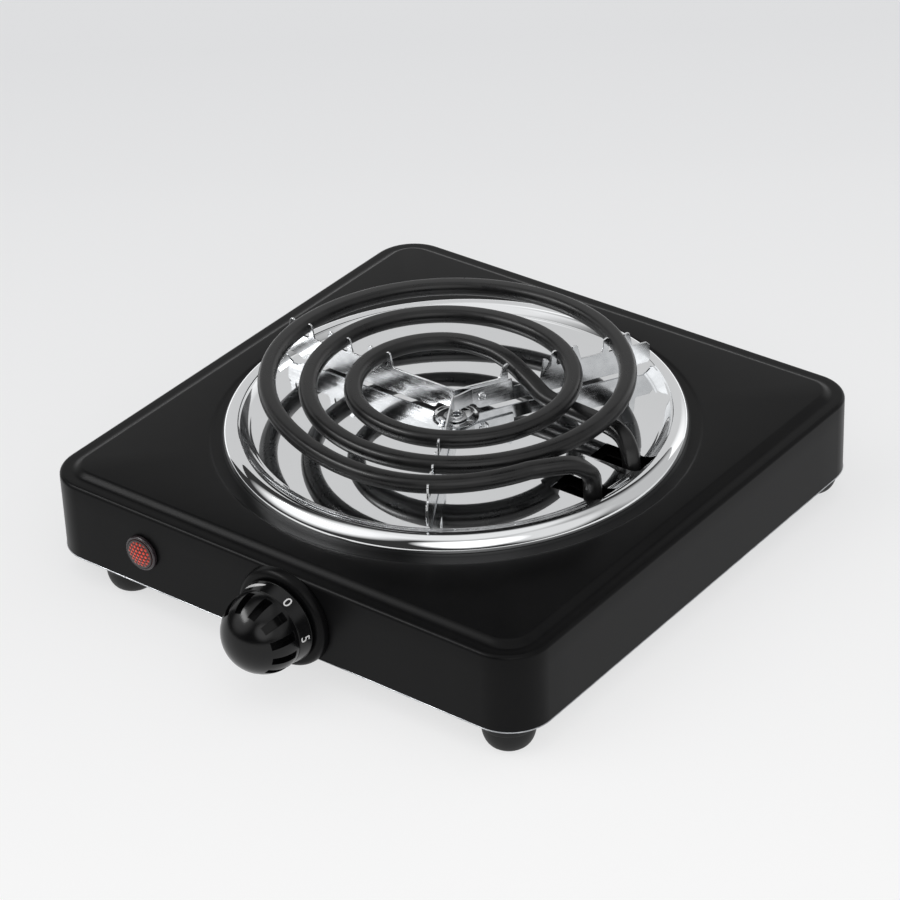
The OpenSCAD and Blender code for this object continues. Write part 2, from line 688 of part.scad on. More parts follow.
module push_pin() color("#f2efe6") on_knob_axis() rod(pin_r, spindle_end + 1 + pin_travel + 0.2, moving_u - 0.1);

module bimetal_strip() color("#b58a5a") on_knob_axis() blade(bimetal_u, bimetal_t, contact_x - 8, stack_x + 5, 10);

module stack_rivet() color("#c4c8cc") on_knob_axis() translate([stack_x, 0, 0]) {
    rod(stack_rivet_r, frame_u - 0.9, bimetal_u + bimetal_t + 1);
    rod(stack_rivet_r + 1.2, frame_u - 0.9, frame_u);
    rod(stack_rivet_r + 1.2, bimetal_u + bimetal_t, bimetal_u + bimetal_t + 1);
}

module on_lamp_axis() at_home() translate([-lamp_x, 0, lamp_z]) children();

module lamp_holder() color("#2b1a18") on_lamp_axis() difference() {
    union() {
        rod(lamp_d / 2, -lamp_flange_t, 0);
        rod(holder_r, 0, 12);
    }
    rod(lens_d / 2 + run_gap, -lamp_flange_t - 1, -0.6);
    rod(holder_r - 1, -1, 13);
}

module lamp_lens() color("#e0401c") on_lamp_axis() translate([0, front_y, 0]) rotate([90, 0, 0])
    rotate_extrude() polygon(concat([[0, -4], [holder_r - 1.1, -4], [holder_r - 1.1, 0.6], [lens_d / 2, 0.6]],
        [for (a = [0:15:90]) [lens_d / 2 * cos(a), lamp_flange_t + 1.2 * sin(a)]]));

module neon_bulb() color("#e8c9a8") on_lamp_axis() {
    rod(2.6, 5, 15);
    translate([0, front_y + 15, 0]) sphere(2.6);
}

module lamp_clip() color("#b9bcbf") on_lamp_axis() difference() {
    rod(holder_r + 3, sheet_t, sheet_t + 0.8);
    rod(holder_r + run_gap, 0, 3);
}

module at_block() at_home() translate([block_x, rear_y - sheet_t, block_z]) children();

module terminal_block() color("#e8e4d8") at_block() difference() {
    translate([-block_w / 2, -block_deep, -block_h / 2]) cube([block_w, block_deep, block_h]);
    for (x = [-11, 0, 11]) translate([x, -block_deep - 1, -2]) rotate([-90, 0, 0]) cylinder(r = pole_r, h = 9);
    for (x = [-11, 0, 11]) translate([x, -block_deep + 4, -1]) cylinder(r = 1.5 + run_gap, h = 20);
    translate([0, -7, 0]) rotate([-90, 0, 0]) cylinder(r = foot_screw_r * 0.75, h = 10);
}

module terminal_screws() color("#c9b26a") at_block() for (x = [-11, 0, 11])
    translate([x, -block_deep + 4, 0.2]) cylinder(r = 1.5, h = block_h / 2 - 0.4);

module block_screw() color("#c4c8cc") at_block() {
    translate([0, -6.5, 0]) rotate([-90, 0, 0]) cylinder(r = foot_screw_r * 0.75, h = 6.5 + sheet_t);
    translate([0, sheet_t, 0]) rotate([-90, 0, 0]) cylinder(r = 3, h = 1.8);
}

module on_gland_axis() at_home() translate([gland_x, 0, gland_z]) children();

module cord_gland() color("#1a1a1c") on_gland_axis() difference() {
    union() {
        rod(gland_flange_r, casing_d, casing_d + gland_flange_t);
        rod(gland_barrel_r, casing_d - sheet_t - 2, casing_d);
        rod(gland_flange_r - 0.6, casing_d - sheet_t - 4, casing_d - sheet_t);
    }
    rod(gland_bore_r, casing_d - 20, casing_d + 10);
}

module at_clamp() at_home() translate([gland_x, clamp_y, gland_z]) children();

// Block under the panel that the cord is clamped to
module clamp_block() color("#e8e4d8") at_clamp() difference() {
    union() {
        block([-clamp_w / 2, -clamp_d / 2, gland_bore_r], [clamp_w, clamp_d, panel_under - gland_z - gland_bore_r]);
        for (x = [-1, 1]) block([x * clamp_screw_x - 4, -clamp_d / 2, -gland_bore_r], [8, clamp_d, 2 * gland_bore_r]);
    }
    for (x = [-1, 1]) translate([x * clamp_screw_x, 0, -gland_bore_r - 1]) cylinder(r = 1.5 + run_gap, h = 12);
}

// Strap that holds the cord up against the block
module cord_clamp() color("#9a9ea2") at_clamp() difference() {
    union() {
        block([-clamp_w / 2, -clamp_d / 2, -gland_bore_r - saddle_t], [clamp_w, clamp_d, saddle_t]);
        block([-cord_d / 2, -1, -gland_bore_r], [cord_d, 2, 0.6]);
    }
    for (x = [-1, 1]) translate([x * clamp_screw_x, 0, -gland_bore_r - saddle_t - 1])
        cylinder(r = 1.5 + run_gap, h = saddle_t + 2);
}

module clamp_screws() color("#c4c8cc") at_clamp() for (x = [-1, 1])
    translate([x * clamp_screw_x, 0, -gland_bore_r - saddle_t]) {
        cylinder(r = 1.5, h = saddle_t + 10);
        translate([0, 0, -2]) cylinder(r = 2.8, h = 2);
    }

module on_earth_axis() at_home() translate([earth_x, 0, earth_z]) children();

module earth_screw() color("#c4c8cc") on_earth_axis() {
    rod(earth_r, casing_d - 9, casing_d);
    rod(3.6, casing_d, casing_d + 2);
}

module earth_tag() color("#d2ad55") on_earth_axis() difference() {
    union() {
        rod(4.2, casing_d - sheet_t - 0.8, casing_d - sheet_t);
        translate([-3, rear_y - sheet_t - 0.8, 0]) cube([6, 0.8, 12]);
    }
    rod(earth_r + run_gap, casing_d - 5, casing_d);
}

module earth_nut() color("#b9bcbf") on_earth_axis() difference() {
    translate([0, rear_y - sheet_t - 4, 0]) rotate([-90, 0, 0]) cylinder(r = 4.04, h = 3.2, $fn = 6);
    rod(earth_r + run_gap, casing_d - 9, casing_d);
}

// Wires. Their ends meet the tags, the block's poles and the pins; the points between are chosen freely.
wire_z = 10;
block_front = rear_y - sheet_t - block_deep;
spade_y = front_y + fixed_u + 2;
pin_end = leg_bottom - pin_l;
module wire(points) bar_along(smooth_line(points, 3), wire_r, 8, [0, 0, 1]);

module supply_wire() color("#7a4a24") at_home() wire([[block_x - 11, block_front + 5, block_z - 2],
    [block_x - 12, block_front - 8, block_z - 3], [block_x - 20, block_front - 26, wire_z], [28, 20, wire_z],
    [34, -50, wire_z], [knob_x + stack_x + 12, -88, wire_z + 3], [knob_x + stack_x + 11, spade_y + 0.9, knob_z]]);

module element_wire() color("#a33a22") at_home() wire([[knob_x + stack_x + 8, front_y + moving_u + 2, knob_z + 1],
    [knob_x + stack_x + 14, -88, knob_z + 2], [50, -74, wire_z], [78, -50, wire_z], [90, -28, wire_z],
    [leg_x + 8, outer_leg_y, pin_end + 1.5], [leg_x + pin_wire_r + wire_r, outer_leg_y, pin_end + 3]]);

module neutral_wire() color("#3a5f9a") at_home() wire([[block_x, block_front + 5, block_z - 2],
    [block_x + 1, block_front - 8, block_z - 3], [54, 70, wire_z], [84, 44, wire_z], [92, 24, wire_z],
    [leg_x + 8, inner_leg_y, pin_end + 1.5], [leg_x + pin_wire_r + wire_r, inner_leg_y, pin_end + 3]]);

module lamp_wires() color("#8a8a8e") at_home() {
    wire([[-lamp_x - 1.5, front_y + 18, lamp_z], [-lamp_x - 2, front_y + 26, lamp_z - 3],
        [-44, front_y + 43.5, wire_z - 4], [-10, front_y + 55.5, wire_z - 4],
        [16, front_y + 43.5, wire_z - 4], [knob_x + stack_x + 6, front_y + 27.5, 7],
        [knob_x + stack_x + 8, front_y + moving_u + 2, knob_z - 2.5]]);
    wire([[-lamp_x + 1.5, front_y + 18, lamp_z], [-lamp_x + 3, front_y + 27, lamp_z - 2],
        [-52, front_y + 65.5, wire_z - 3], [-30, 30, wire_z - 3], [-4, 76, wire_z - 3],
        [block_x - 7, block_front - 12, block_z - 8],
        [block_x - 5.5, block_front - wire_r - 0.1, block_z + 2]]);
}

module earth_wire() color("#8fae3a") at_home() wire([[block_x + 11, block_front + 5, block_z - 2],
    [block_x + 12, block_front - 7, block_z - 2], [60, 78, wire_z + 8], [84, 78, wire_z + 12],
    [earth_x - 1, rear_y - 14, earth_z + 12], [earth_x, rear_y - sheet_t - 2, earth_z + 9.8]]);

casing();
base_plate();
corner_tabs();
feet();
foot_screws();
drip_pan();
pan_spacer();
pan_screw();
pan_nut();
heating_tube();
end_seals();
terminal_pins();
arm_pair();
single_arm();
arm_rivet();
leg_clamp();
hinge_bracket();
hinge_pin();
pin_clips();
knob();
knob_spring();
spindle();
knob_bezel();
bush_nut();
spindle_bush();
thermostat_frame();
ceramic_rings();
fixed_blade();
fixed_contact();
blade_root();
moving_blade();
moving_contact();
push_pin();
bimetal_strip();
stack_rivet();
lamp_holder();
lamp_lens();
neon_bulb();
lamp_clip();
terminal_block();
terminal_screws();
block_screw();
cord_gland();
clamp_block();
cord_clamp();
clamp_screws();
earth_screw();
earth_tag();
earth_nut();
supply_wire();
element_wire();
neutral_wire();
lamp_wires();
earth_wire();
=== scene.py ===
import json
from math import atan2, cos, exp, hypot, pi, radians, sin, sqrt

import bmesh
import bpy
from mathutils import Matrix, Vector


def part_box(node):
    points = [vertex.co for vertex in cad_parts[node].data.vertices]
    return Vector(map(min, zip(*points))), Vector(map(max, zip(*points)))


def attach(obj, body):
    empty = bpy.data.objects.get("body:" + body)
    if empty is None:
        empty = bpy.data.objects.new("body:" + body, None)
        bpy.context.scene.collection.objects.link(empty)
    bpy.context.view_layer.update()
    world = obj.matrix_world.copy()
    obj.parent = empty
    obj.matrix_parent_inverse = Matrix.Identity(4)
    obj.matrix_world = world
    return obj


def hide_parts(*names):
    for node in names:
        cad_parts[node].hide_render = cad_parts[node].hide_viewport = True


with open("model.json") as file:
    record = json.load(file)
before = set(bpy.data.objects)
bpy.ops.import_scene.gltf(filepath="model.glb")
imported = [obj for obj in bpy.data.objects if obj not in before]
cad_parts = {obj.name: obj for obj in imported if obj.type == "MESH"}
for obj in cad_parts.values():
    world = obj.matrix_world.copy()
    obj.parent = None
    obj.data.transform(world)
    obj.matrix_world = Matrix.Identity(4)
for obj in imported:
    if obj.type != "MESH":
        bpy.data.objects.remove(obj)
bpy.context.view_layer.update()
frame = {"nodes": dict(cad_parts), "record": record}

MM = 0.001

# ---------------------------------------------------------------- sizes, in millimetres


def box_mm(node):
    """Lowest and highest corner of a CAD node, in millimetres."""
    low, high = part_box(node)
    return low / MM, high / MM


case_low, case_high = box_mm("casing")
pan_low, pan_high = box_mm("drip_pan")
tube_low, tube_high = box_mm("heating_tube")
knob_low, knob_high = box_mm("knob")
bezel_low, bezel_high = box_mm("knob_bezel")
lens_low, lens_high = box_mm("lamp_lens")
feet_low, feet_high = box_mm("feet")

centre_x = (case_low.x + case_high.x) / 2
centre_y = (case_low.y + case_high.y) / 2
wall_front = case_low.y
base_z = case_low.z
panel_z = case_high.z

corner_r = 18.0
ledge_w = 5.0
slope_w = 4.5
panel_rise = 2.0
ledge_z = panel_z - panel_rise
sheet_t = 0.8

pan_r = (pan_high.x - pan_low.x) / 2
rim_h = pan_high.z - panel_z
floor_h = 4.3
floor_z = panel_z + floor_h
crest_r = pan_r - 5.0
floor_r = crest_r - 8.0
recess_r = pan_r + 4.5
recess_d = 0.5

tube_r = 3.6
flat_top = 0.82
spiral_z = tube_high.z - tube_r * flat_top
leg_x = floor_r - 3.0
leg_y = (-15.0, 11.0)
leg_low = tube_low.z

window_half = tube_r + 2.0
window_x = (leg_x - tube_r - 12.0, leg_x + tube_r + 4.0)

left_arm, rear_arm, front_arm = 180, 60, -60

knob_x = (knob_low.x + knob_high.x) / 2
knob_z = (knob_low.z + knob_high.z) / 2
knob_l = wall_front - knob_low.y
knob_back = wall_front - knob_high.y
bezel_r = (bezel_high.x - bezel_low.x) / 2
bezel_t = wall_front - bezel_low.y

lamp_x = (lens_low.x + lens_high.x) / 2
lamp_z = (lens_low.z + lens_high.z) / 2
lens_r = (lens_high.x - lens_low.x) / 2

# ---------------------------------------------------------------- mesh tools


def solid(name, points, faces):
    """A closed mesh from points in millimetres, with doubled points joined and all faces turned outwards."""
    mesh = bpy.data.meshes.new(name)
    mesh.from_pydata([Vector(p) * MM for p in points], [], faces)
    work = bmesh.new()
    work.from_mesh(mesh)
    bmesh.ops.remove_doubles(work, verts=work.verts, dist=1e-6)
    bmesh.ops.dissolve_degenerate(work, edges=work.edges, dist=1e-7)
    bmesh.ops.recalc_face_normals(work, faces=work.faces)
    work.to_mesh(mesh)
    work.free()
    piece = bpy.data.objects.new(name, mesh)
    bpy.context.scene.collection.objects.link(piece)
    return piece


def crisp(piece, angle=32.0):
    """Smooth shading that keeps the edges sharper than angle."""
    piece.data.polygons.foreach_set("use_smooth", [True] * len(piece.data.polygons))
    piece.data.set_sharp_from_angle(angle=radians(angle))
    return piece


def skin(rings, wrap=False):
    """Quads between rings of equal length, as (points, faces); wrap joins the last ring to the first."""
    count = len(rings[0])
    points = [p for ring in rings for p in ring]
    faces = []
    for i in range(len(rings) if wrap else len(rings) - 1):
        j = (i + 1) % len(rings)
        for k in range(count):
            m = (k + 1) % count
            faces.append((i * count + k, i * count + m, j * count + m, j * count + k))
    return points, faces


def capped(rings):
    """A skin whose first and last ring are closed by a face."""
    points, faces = skin(rings)
    count = len(rings[0])
    last = count * (len(rings) - 1)
    faces.append(tuple(range(count)))
    faces.append(tuple(range(last + count - 1, last - 1, -1)))
    return points, faces


def turned(profile, place, steps):
    """A closed profile of (radius, height) turned about an axis; place maps (x, y, height) to the frame."""
    rings = []
    for i in range(steps):
        a = 2 * pi * i / steps
        rings.append([place(r * cos(a), r * sin(a), h) for r, h in profile])
    return skin(rings, wrap=True)


def upright(x, y, z):
    """A place function for a turned piece that stands at (x, y) with its height counted from z."""
    return lambda u, v, h: (x + u, y + v, z + h)


def outward(x, y, z):
    """A place function for a turned piece on the front wall; its height counts outwards, towards -Y."""
    return lambda u, v, h: (x + u, y - h, z + v)


def joined(parts):
    """Several (points, faces) as one."""
    points, faces = [], []
    for part_points, part_faces in parts:
        start = len(points)
        points += part_points
        faces += [tuple(start + i for i in face) for face in part_faces]
    return points, faces


def arc(x, y, r, a0, a1, steps):
    """Points on a circle from angle a0 to a1, in degrees."""
    angles = [radians(a0 + (a1 - a0) * i / steps) for i in range(steps + 1)]
    return [(x + r * cos(a), y + r * sin(a)) for a in angles]


def plate(outline, thickness, place):
    """A flat outline given a thickness; place maps (along, height, across) to the frame."""
    rings = [[place(u, w, side * thickness / 2) for u, w in outline] for side in (-1, 1)]
    return capped(rings)


def bar(path, radius, sides, first_side, flat):
    """A round bar along a path of Vectors; flat below 1 takes the top off it, level and with soft corners."""
    rings = []
    corner = 0.1
    side = Vector(first_side)
    for i, point in enumerate(path):
        ahead = path[min(i + 1, len(path) - 1)] - path[max(i - 1, 0)]
        ahead.normalize()
        if hypot(ahead.x, ahead.y) > 0.3:
            side = ahead.cross(Vector((0, 0, 1)))
        side = (side - side.dot(ahead) * ahead).normalized()
        up = side.cross(ahead)
        ring = []
        for k in range(sides):
            a = 2 * pi * k / sides
            rise = sin(a)
            if rise > flat - corner:
                rise = flat - corner * exp(-(rise - flat + corner) / corner)
            ring.append(point + radius * (cos(a) * side + rise * up))
        rings.append(ring)
    return capped(rings)


def box_part(low, high):
    """A plain block, used to cut with."""
    (x0, y0, z0), (x1, y1, z1) = low, high
    outline = [(x0, y0), (x1, y0), (x1, y1), (x0, y1)]
    return capped([[(x, y, z) for x, y in outline] for z in (z0, z1)])


def rod_part(x, z, r, y0, y1):
    """A round rod along Y, used to cut with."""
    return capped([[(x + u, y, z + v) for u, v in arc(0, 0, r, 0, 352.5, 47)] for y in (y0, y1)])


def cut(piece, parts):
    """Takes the closed parts out of the piece."""
    cutter = solid("cutter", *joined(parts))
    change = piece.modifiers.new("cut", "BOOLEAN")
    change.operation = "DIFFERENCE"
    change.solver = "EXACT"
    change.object = cutter
    graph = bpy.context.evaluated_depsgraph_get()
    mesh = bpy.data.meshes.new_from_object(piece.evaluated_get(graph))
    piece.modifiers.remove(change)
    old = piece.data
    piece.data = mesh
    mesh.name = piece.name
    bpy.data.meshes.remove(old)
    bpy.data.objects.remove(cutter)
    return piece


def soften(piece, width, angle=30.0):
    """A small bevel along the sharp edges."""
    bevel = piece.modifiers.new("soft_edges", "BEVEL")
    bevel.width = width * MM
    bevel.segments = 2
    bevel.limit_method = "ANGLE"
    bevel.angle_limit = radians(angle)
    bevel.harden_normals = False
    return piece


def smooth_line(p, steps):
    """A smooth line through the points p, with that many steps from each point to the next."""
    line = []
    for i in range(len(p) - 1):
        a, b, c, d = p[max(i - 1, 0)], p[i], p[i + 1], p[min(i + 2, len(p) - 1)]
        for k in range(steps):
            t = k / steps
            line.append(0.5 * (2 * b + (c - a) * t + (2 * a - 5 * b + 4 * c - d) * t * t
                               + (3 * b - a - 3 * c + d) * t * t * t))
    return line + [p[-1]]


# ---------------------------------------------------------------- node tools


def add(tree, kind, settings=None, inputs=None):
    """A shader node with its settings; an input is a value or a socket to link."""
    node = tree.nodes.new(kind)
    for key, value in (settings or {}).items():
        setattr(node, key, value)
    for key, value in (inputs or {}).items():
        if isinstance(value, bpy.types.NodeSocket):
            tree.links.new(value, node.inputs[key])
        else:
            node.inputs[key].default_value = value
    return node


def group(name, inputs, outputs):
    """An empty node group with float inputs (name, value) and the named float outputs."""
    tree = bpy.data.node_groups.new(name, "ShaderNodeTree")
    for label, value in inputs:
        socket = tree.interface.new_socket(name=label, in_out="INPUT", socket_type="NodeSocketFloat")
        socket.default_value = value
    for label in outputs:
        tree.interface.new_socket(name=label, in_out="OUTPUT", socket_type="NodeSocketFloat")
    return tree, add(tree, "NodeGroupInput").outputs, add(tree, "NodeGroupOutput").inputs


def math_node(tree, operation, a, b, clamp=False):
    return add(tree, "ShaderNodeMath", {"operation": operation, "use_clamp": clamp}, {0: a, 1: b}).outputs[0]


def spread(tree, value, low, high, to_low=0.0, to_high=1.0):
    """Maps a value from low..high to to_low..to_high, clamped."""
    return add(tree, "ShaderNodeMapRange", None, {"Value": value, "From Min": low, "From Max": high,
                                                  "To Min": to_low, "To Max": to_high}).outputs["Result"]


def coordinates(tree, stretch=(1, 1, 1)):
    """Places on the piece, in metres, stretched along each axis."""
    where = add(tree, "ShaderNodeTexCoord").outputs["Object"]
    return add(tree, "ShaderNodeMapping", None, {"Vector": where, "Scale": stretch}).outputs["Vector"]


def noise(tree, where, scale, detail, roughness):
    return add(tree, "ShaderNodeTexNoise", None, {"Vector": where, "Scale": scale, "Detail": detail,
                                                  "Roughness": roughness}).outputs["Fac"]


def make_blotches():
    """Soft uneven patches, as in paint, oxide or moulded rubber."""
    tree, given, out = group("blotches", [("Scale", 40), ("Contrast", 0.15)], ["Mask"])
    value = noise(tree, coordinates(tree), given["Scale"], 5, 0.6)
    low = math_node(tree, "SUBTRACT", 0.5, given["Contrast"])
    high = math_node(tree, "ADD", 0.5, given["Contrast"])
    tree.links.new(spread(tree, value, low, high), out["Mask"])
    return tree


def make_fine_grain():
    """The small dimples of sprayed paint or a moulded surface."""
    tree, given, out = group("fine_grain", [("Scale", 2000), ("Depth", 1)], ["Height"])
    value = noise(tree, coordinates(tree), given["Scale"], 2, 0.5)
    tree.links.new(math_node(tree, "MULTIPLY", value, given["Depth"]), out["Height"])
    return tree


def make_edge_wear():
    """Rubbed edges: high where the surface turns outwards, broken up by noise."""
    tree, given, out = group("edge_wear", [("Amount", 0.5), ("Scale", 150)], ["Mask"])
    edge = add(tree, "ShaderNodeNewGeometry").outputs["Pointiness"]
    edge = spread(tree, edge, 0.52, 0.62)
    patches = spread(tree, noise(tree, coordinates(tree), given["Scale"], 4, 0.65), 0.42, 0.62)
    mask = math_node(tree, "MULTIPLY", edge, patches)
    tree.links.new(math_node(tree, "MULTIPLY", mask, given["Amount"], clamp=True), out["Mask"])
    return tree


def make_settled_dust():
    """A thin film of dust on what faces upwards."""
    tree, given, out = group("settled_dust", [("Amount", 0.3), ("Scale", 60)], ["Mask"])
    facing = add(tree, "ShaderNodeSeparateXYZ", None,
                 {"Vector": add(tree, "ShaderNodeTexCoord").outputs["Normal"]}).outputs["Z"]
    facing = spread(tree, facing, 0.4, 1.0)
    specks = spread(tree, noise(tree, coordinates(tree), given["Scale"], 8, 0.7), 0.35, 0.75)
    mask = math_node(tree, "MULTIPLY", facing, specks)
    tree.links.new(math_node(tree, "MULTIPLY", mask, given["Amount"], clamp=True), out["Mask"])
    return tree


def make_brush_lines():
    """Fine lines that run level, as rolling and brushing leave them on strip steel."""
    tree, given, out = group("brush_lines", [("Scale", 120), ("Depth", 1)], ["Value", "Height"])
    value = noise(tree, coordinates(tree, (1, 1, 25)), given["Scale"], 4, 0.7)
    tree.links.new(value, out["Value"])
    tree.links.new(math_node(tree, "MULTIPLY", value, given["Depth"]), out["Height"])
    return tree


def make_hair_scratches():
    """Sparse hairline scratches in two directions."""
    tree, given, out = group("hair_scratches", [("Scale", 60), ("Amount", 0.3)], ["Mask"])
    found = None
    for stretch in ((1, 0.06, 0.3), (0.09, 1, 0.3)):
        value = noise(tree, coordinates(tree, stretch), given["Scale"], 6, 0.8)
        line = spread(tree, value, 0.69, 0.74)
        found = line if found is None else math_node(tree, "MAXIMUM", found, line)
    tree.links.new(math_node(tree, "MULTIPLY", found, given["Amount"], clamp=True), out["Mask"])
    return tree


def make_hollows():
    """Wide shallow waves, as pressing leaves them in thin bright sheet."""
    tree, given, out = group("hollows", [("Scale", 60), ("Depth", 1)], ["Height"])
    value = noise(tree, coordinates(tree), given["Scale"], 1.5, 0.4)
    tree.links.new(math_node(tree, "MULTIPLY", value, given["Depth"]), out["Height"])
    return tree


GROUPS = {"blotches": make_blotches(), "fine_grain": make_fine_grain(), "edge_wear": make_edge_wear(),
          "settled_dust": make_settled_dust(), "brush_lines": make_brush_lines(),
          "hair_scratches": make_hair_scratches(), "hollows": make_hollows()}


def effect(tree, name, **values):
    """A node group placed in a material with its own values."""
    node = add(tree, "ShaderNodeGroup", {"node_tree": GROUPS[name]})
    for label, value in values.items():
        node.inputs[label].default_value = value
    return node.outputs


def blend_colors(tree, mask, a, b):
    """Colour a where the mask is 0 and b where it is 1."""
    node = add(tree, "ShaderNodeMix", {"data_type": "RGBA"})
    for socket, value in ((node.inputs[0], mask), (node.inputs[6], a), (node.inputs[7], b)):
        if isinstance(value, bpy.types.NodeSocket):
            tree.links.new(value, socket)
        else:
            socket.default_value = (*value, 1) if hasattr(value, "__len__") else value
    return node.outputs[2]


def bump(tree, height, distance, normal=None):
    node = add(tree, "ShaderNodeBump", None, {"Strength": 1.0, "Distance": distance * MM, "Height": height})
    if normal is not None:
        tree.links.new(normal, node.inputs["Normal"])
    return node.outputs["Normal"]


FINISHES = {}


def finish(name, color, spots, rough, metal=0.0, blotch=(60, 0.15), grain=(2500, 0.01), wear=None, dust=None,
           brush=None, scratch=None, waves=None, coat=0.0, fixed=None):
    """A finish for one material slot. color and spots are the two tones of the blotches, rough the lowest and
    highest roughness; the other effects are left out where they are None."""
    made = bpy.data.materials.new(name)
    made.use_nodes = True
    tree = made.node_tree
    tree.nodes.clear()
    shader = add(tree, "ShaderNodeBsdfPrincipled", None, {"Metallic": metal, "Coat Weight": coat})
    add(tree, "ShaderNodeOutputMaterial", None, {"Surface": shader.outputs[0]})
    patches = effect(tree, "blotches", Scale=blotch[0], Contrast=blotch[1])["Mask"]
    tone = blend_colors(tree, patches, color, spots)
    roughness = spread(tree, patches, 0, 1, *rough)
    normal = bump(tree, effect(tree, "fine_grain", Scale=grain[0], Depth=1)["Height"], grain[1])
    if waves:
        normal = bump(tree, effect(tree, "hollows", Scale=waves[0], Depth=1)["Height"], waves[1], normal)
    if brush:
        lines = effect(tree, "brush_lines", Scale=brush[0], Depth=1)
        normal = bump(tree, lines["Height"], brush[1], normal)
        streaks = spread(tree, lines["Value"], 0.3, 0.7, -0.05, 0.08)
        roughness = math_node(tree, "ADD", roughness, streaks, True)
    if scratch:
        marks = effect(tree, "hair_scratches", Scale=scratch[0], Amount=scratch[1])["Mask"]
        roughness = math_node(tree, "ADD", roughness, marks, True)
    if wear:
        rubbed = effect(tree, "edge_wear", Amount=wear[0], Scale=wear[1])["Mask"]
        tone = blend_colors(tree, rubbed, tone, wear[2])
    if dust:
        film = effect(tree, "settled_dust", Amount=dust[0], Scale=dust[1])["Mask"]
        tone = blend_colors(tree, film, tone, (0.32, 0.31, 0.29))
        roughness = math_node(tree, "ADD", roughness, film, True)
    tree.links.new(tone, shader.inputs["Base Color"])
    tree.links.new(roughness, shader.inputs["Roughness"])
    tree.links.new(normal, shader.inputs["Normal"])
    for label, value in (fixed or {}).items():
        shader.inputs[label].default_value = value
    FINISHES[name] = made
    return made


STEEL_EDGE = (0.55, 0.55, 0.56)
finish("black_paint", (0.0035, 0.0035, 0.0038), (0.0050, 0.0050, 0.0053), (0.30, 0.35), blotch=(25, 0.2),
       grain=(1400, 0.006), wear=(0.10, 120, (0.05, 0.05, 0.05)), dust=(0.004, 90), scratch=(40, 0.06),
       fixed={"Specular IOR Level": 0.1})
finish("black_plate", (0.018, 0.018, 0.019), (0.026, 0.026, 0.027), (0.5, 0.62), blotch=(30, 0.2),
       grain=(1600, 0.01), wear=(0.35, 150, STEEL_EDGE), scratch=(50, 0.15))
finish("chrome", (0.83, 0.84, 0.85), (0.79, 0.80, 0.81), (0.015, 0.035), 1.0, blotch=(18, 0.3),
       grain=(900, 0.0006), scratch=(90, 0.05), waves=(14, 0.03))
finish("tube_black", (0.006, 0.006, 0.0063), (0.012, 0.012, 0.0123), (0.25, 0.36), blotch=(70, 0.12),
       grain=(2200, 0.010), wear=(0.15, 90, (0.04, 0.04, 0.04)), fixed={"Specular IOR Level": 0.35})
finish("bright_steel", (0.72, 0.73, 0.74), (0.62, 0.63, 0.64), (0.10, 0.20), 1.0, blotch=(110, 0.12),
       grain=(1500, 0.004), brush=(60, 0.004), scratch=(120, 0.12), waves=(90, 0.09))
finish("zinc_steel", (0.55, 0.56, 0.58), (0.42, 0.43, 0.45), (0.24, 0.38), 1.0, blotch=(180, 0.1),
       grain=(1800, 0.008), brush=(90, 0.006), wear=(0.3, 200, (0.7, 0.7, 0.71)))
finish("brass_part", (0.71, 0.53, 0.25), (0.58, 0.42, 0.20), (0.20, 0.34), 1.0, blotch=(120, 0.12),
       grain=(1800, 0.006), brush=(90, 0.005), wear=(0.3, 200, (0.86, 0.72, 0.42)))
finish("silver_contact", (0.80, 0.79, 0.77), (0.62, 0.61, 0.60), (0.18, 0.3), 1.0, grain=(1500, 0.006))
finish("bimetal", (0.46, 0.38, 0.32), (0.34, 0.26, 0.22), (0.28, 0.42), 1.0, blotch=(90, 0.1),
       brush=(80, 0.006))
finish("ceramic", (0.80, 0.77, 0.69), (0.70, 0.66, 0.58), (0.5, 0.65), blotch=(220, 0.15), grain=(1800, 0.02),
       wear=(0.2, 200, (0.9, 0.88, 0.82)))
finish("rubber_black", (0.006, 0.006, 0.006), (0.010, 0.010, 0.010), (0.5, 0.62), grain=(2600, 0.015),
       dust=(0.01, 120), fixed={"Specular IOR Level": 0.3})
finish("knob_black", (0.0025, 0.0025, 0.0028), (0.004, 0.004, 0.0043), (0.16, 0.22), blotch=(50, 0.2),
       grain=(1800, 0.003), wear=(0.12, 200, (0.08, 0.08, 0.08)), scratch=(90, 0.05),
       fixed={"Specular IOR Level": 0.3})
finish("bezel_black", (0.0025, 0.0025, 0.0028), (0.004, 0.004, 0.0043), (0.32, 0.38), grain=(2200, 0.006),
       fixed={"Specular IOR Level": 0.1})
finish("lamp_body", (0.030, 0.022, 0.026), (0.020, 0.014, 0.017), (0.10, 0.18), grain=(1500, 0.002), coat=0.2)
finish("wire_brown", (0.20, 0.09, 0.045), (0.15, 0.065, 0.03), (0.4, 0.55))
finish("wire_red", (0.40, 0.055, 0.035), (0.32, 0.04, 0.03), (0.55, 0.7), grain=(3000, 0.03))
finish("wire_blue", (0.04, 0.10, 0.32), (0.03, 0.08, 0.26), (0.4, 0.55))
finish("wire_grey", (0.28, 0.28, 0.29), (0.22, 0.22, 0.23), (0.4, 0.55))
finish("wire_earth", (0.30, 0.40, 0.05), (0.62, 0.55, 0.04), (0.4, 0.55), blotch=(90, 0.02))
finish("gland_black", (0.014, 0.014, 0.015), (0.020, 0.020, 0.021), (0.42, 0.52), grain=(2200, 0.012))
finish("white_print", (0.80, 0.80, 0.80), (0.74, 0.74, 0.74), (0.35, 0.45), grain=(2500, 0.002))
finish("lamp_glass", (0.92, 0.86, 0.80), (0.88, 0.80, 0.74), (0.02, 0.05), grain=(900, 0.001),
       fixed={"Transmission Weight": 0.9, "IOR": 1.45})


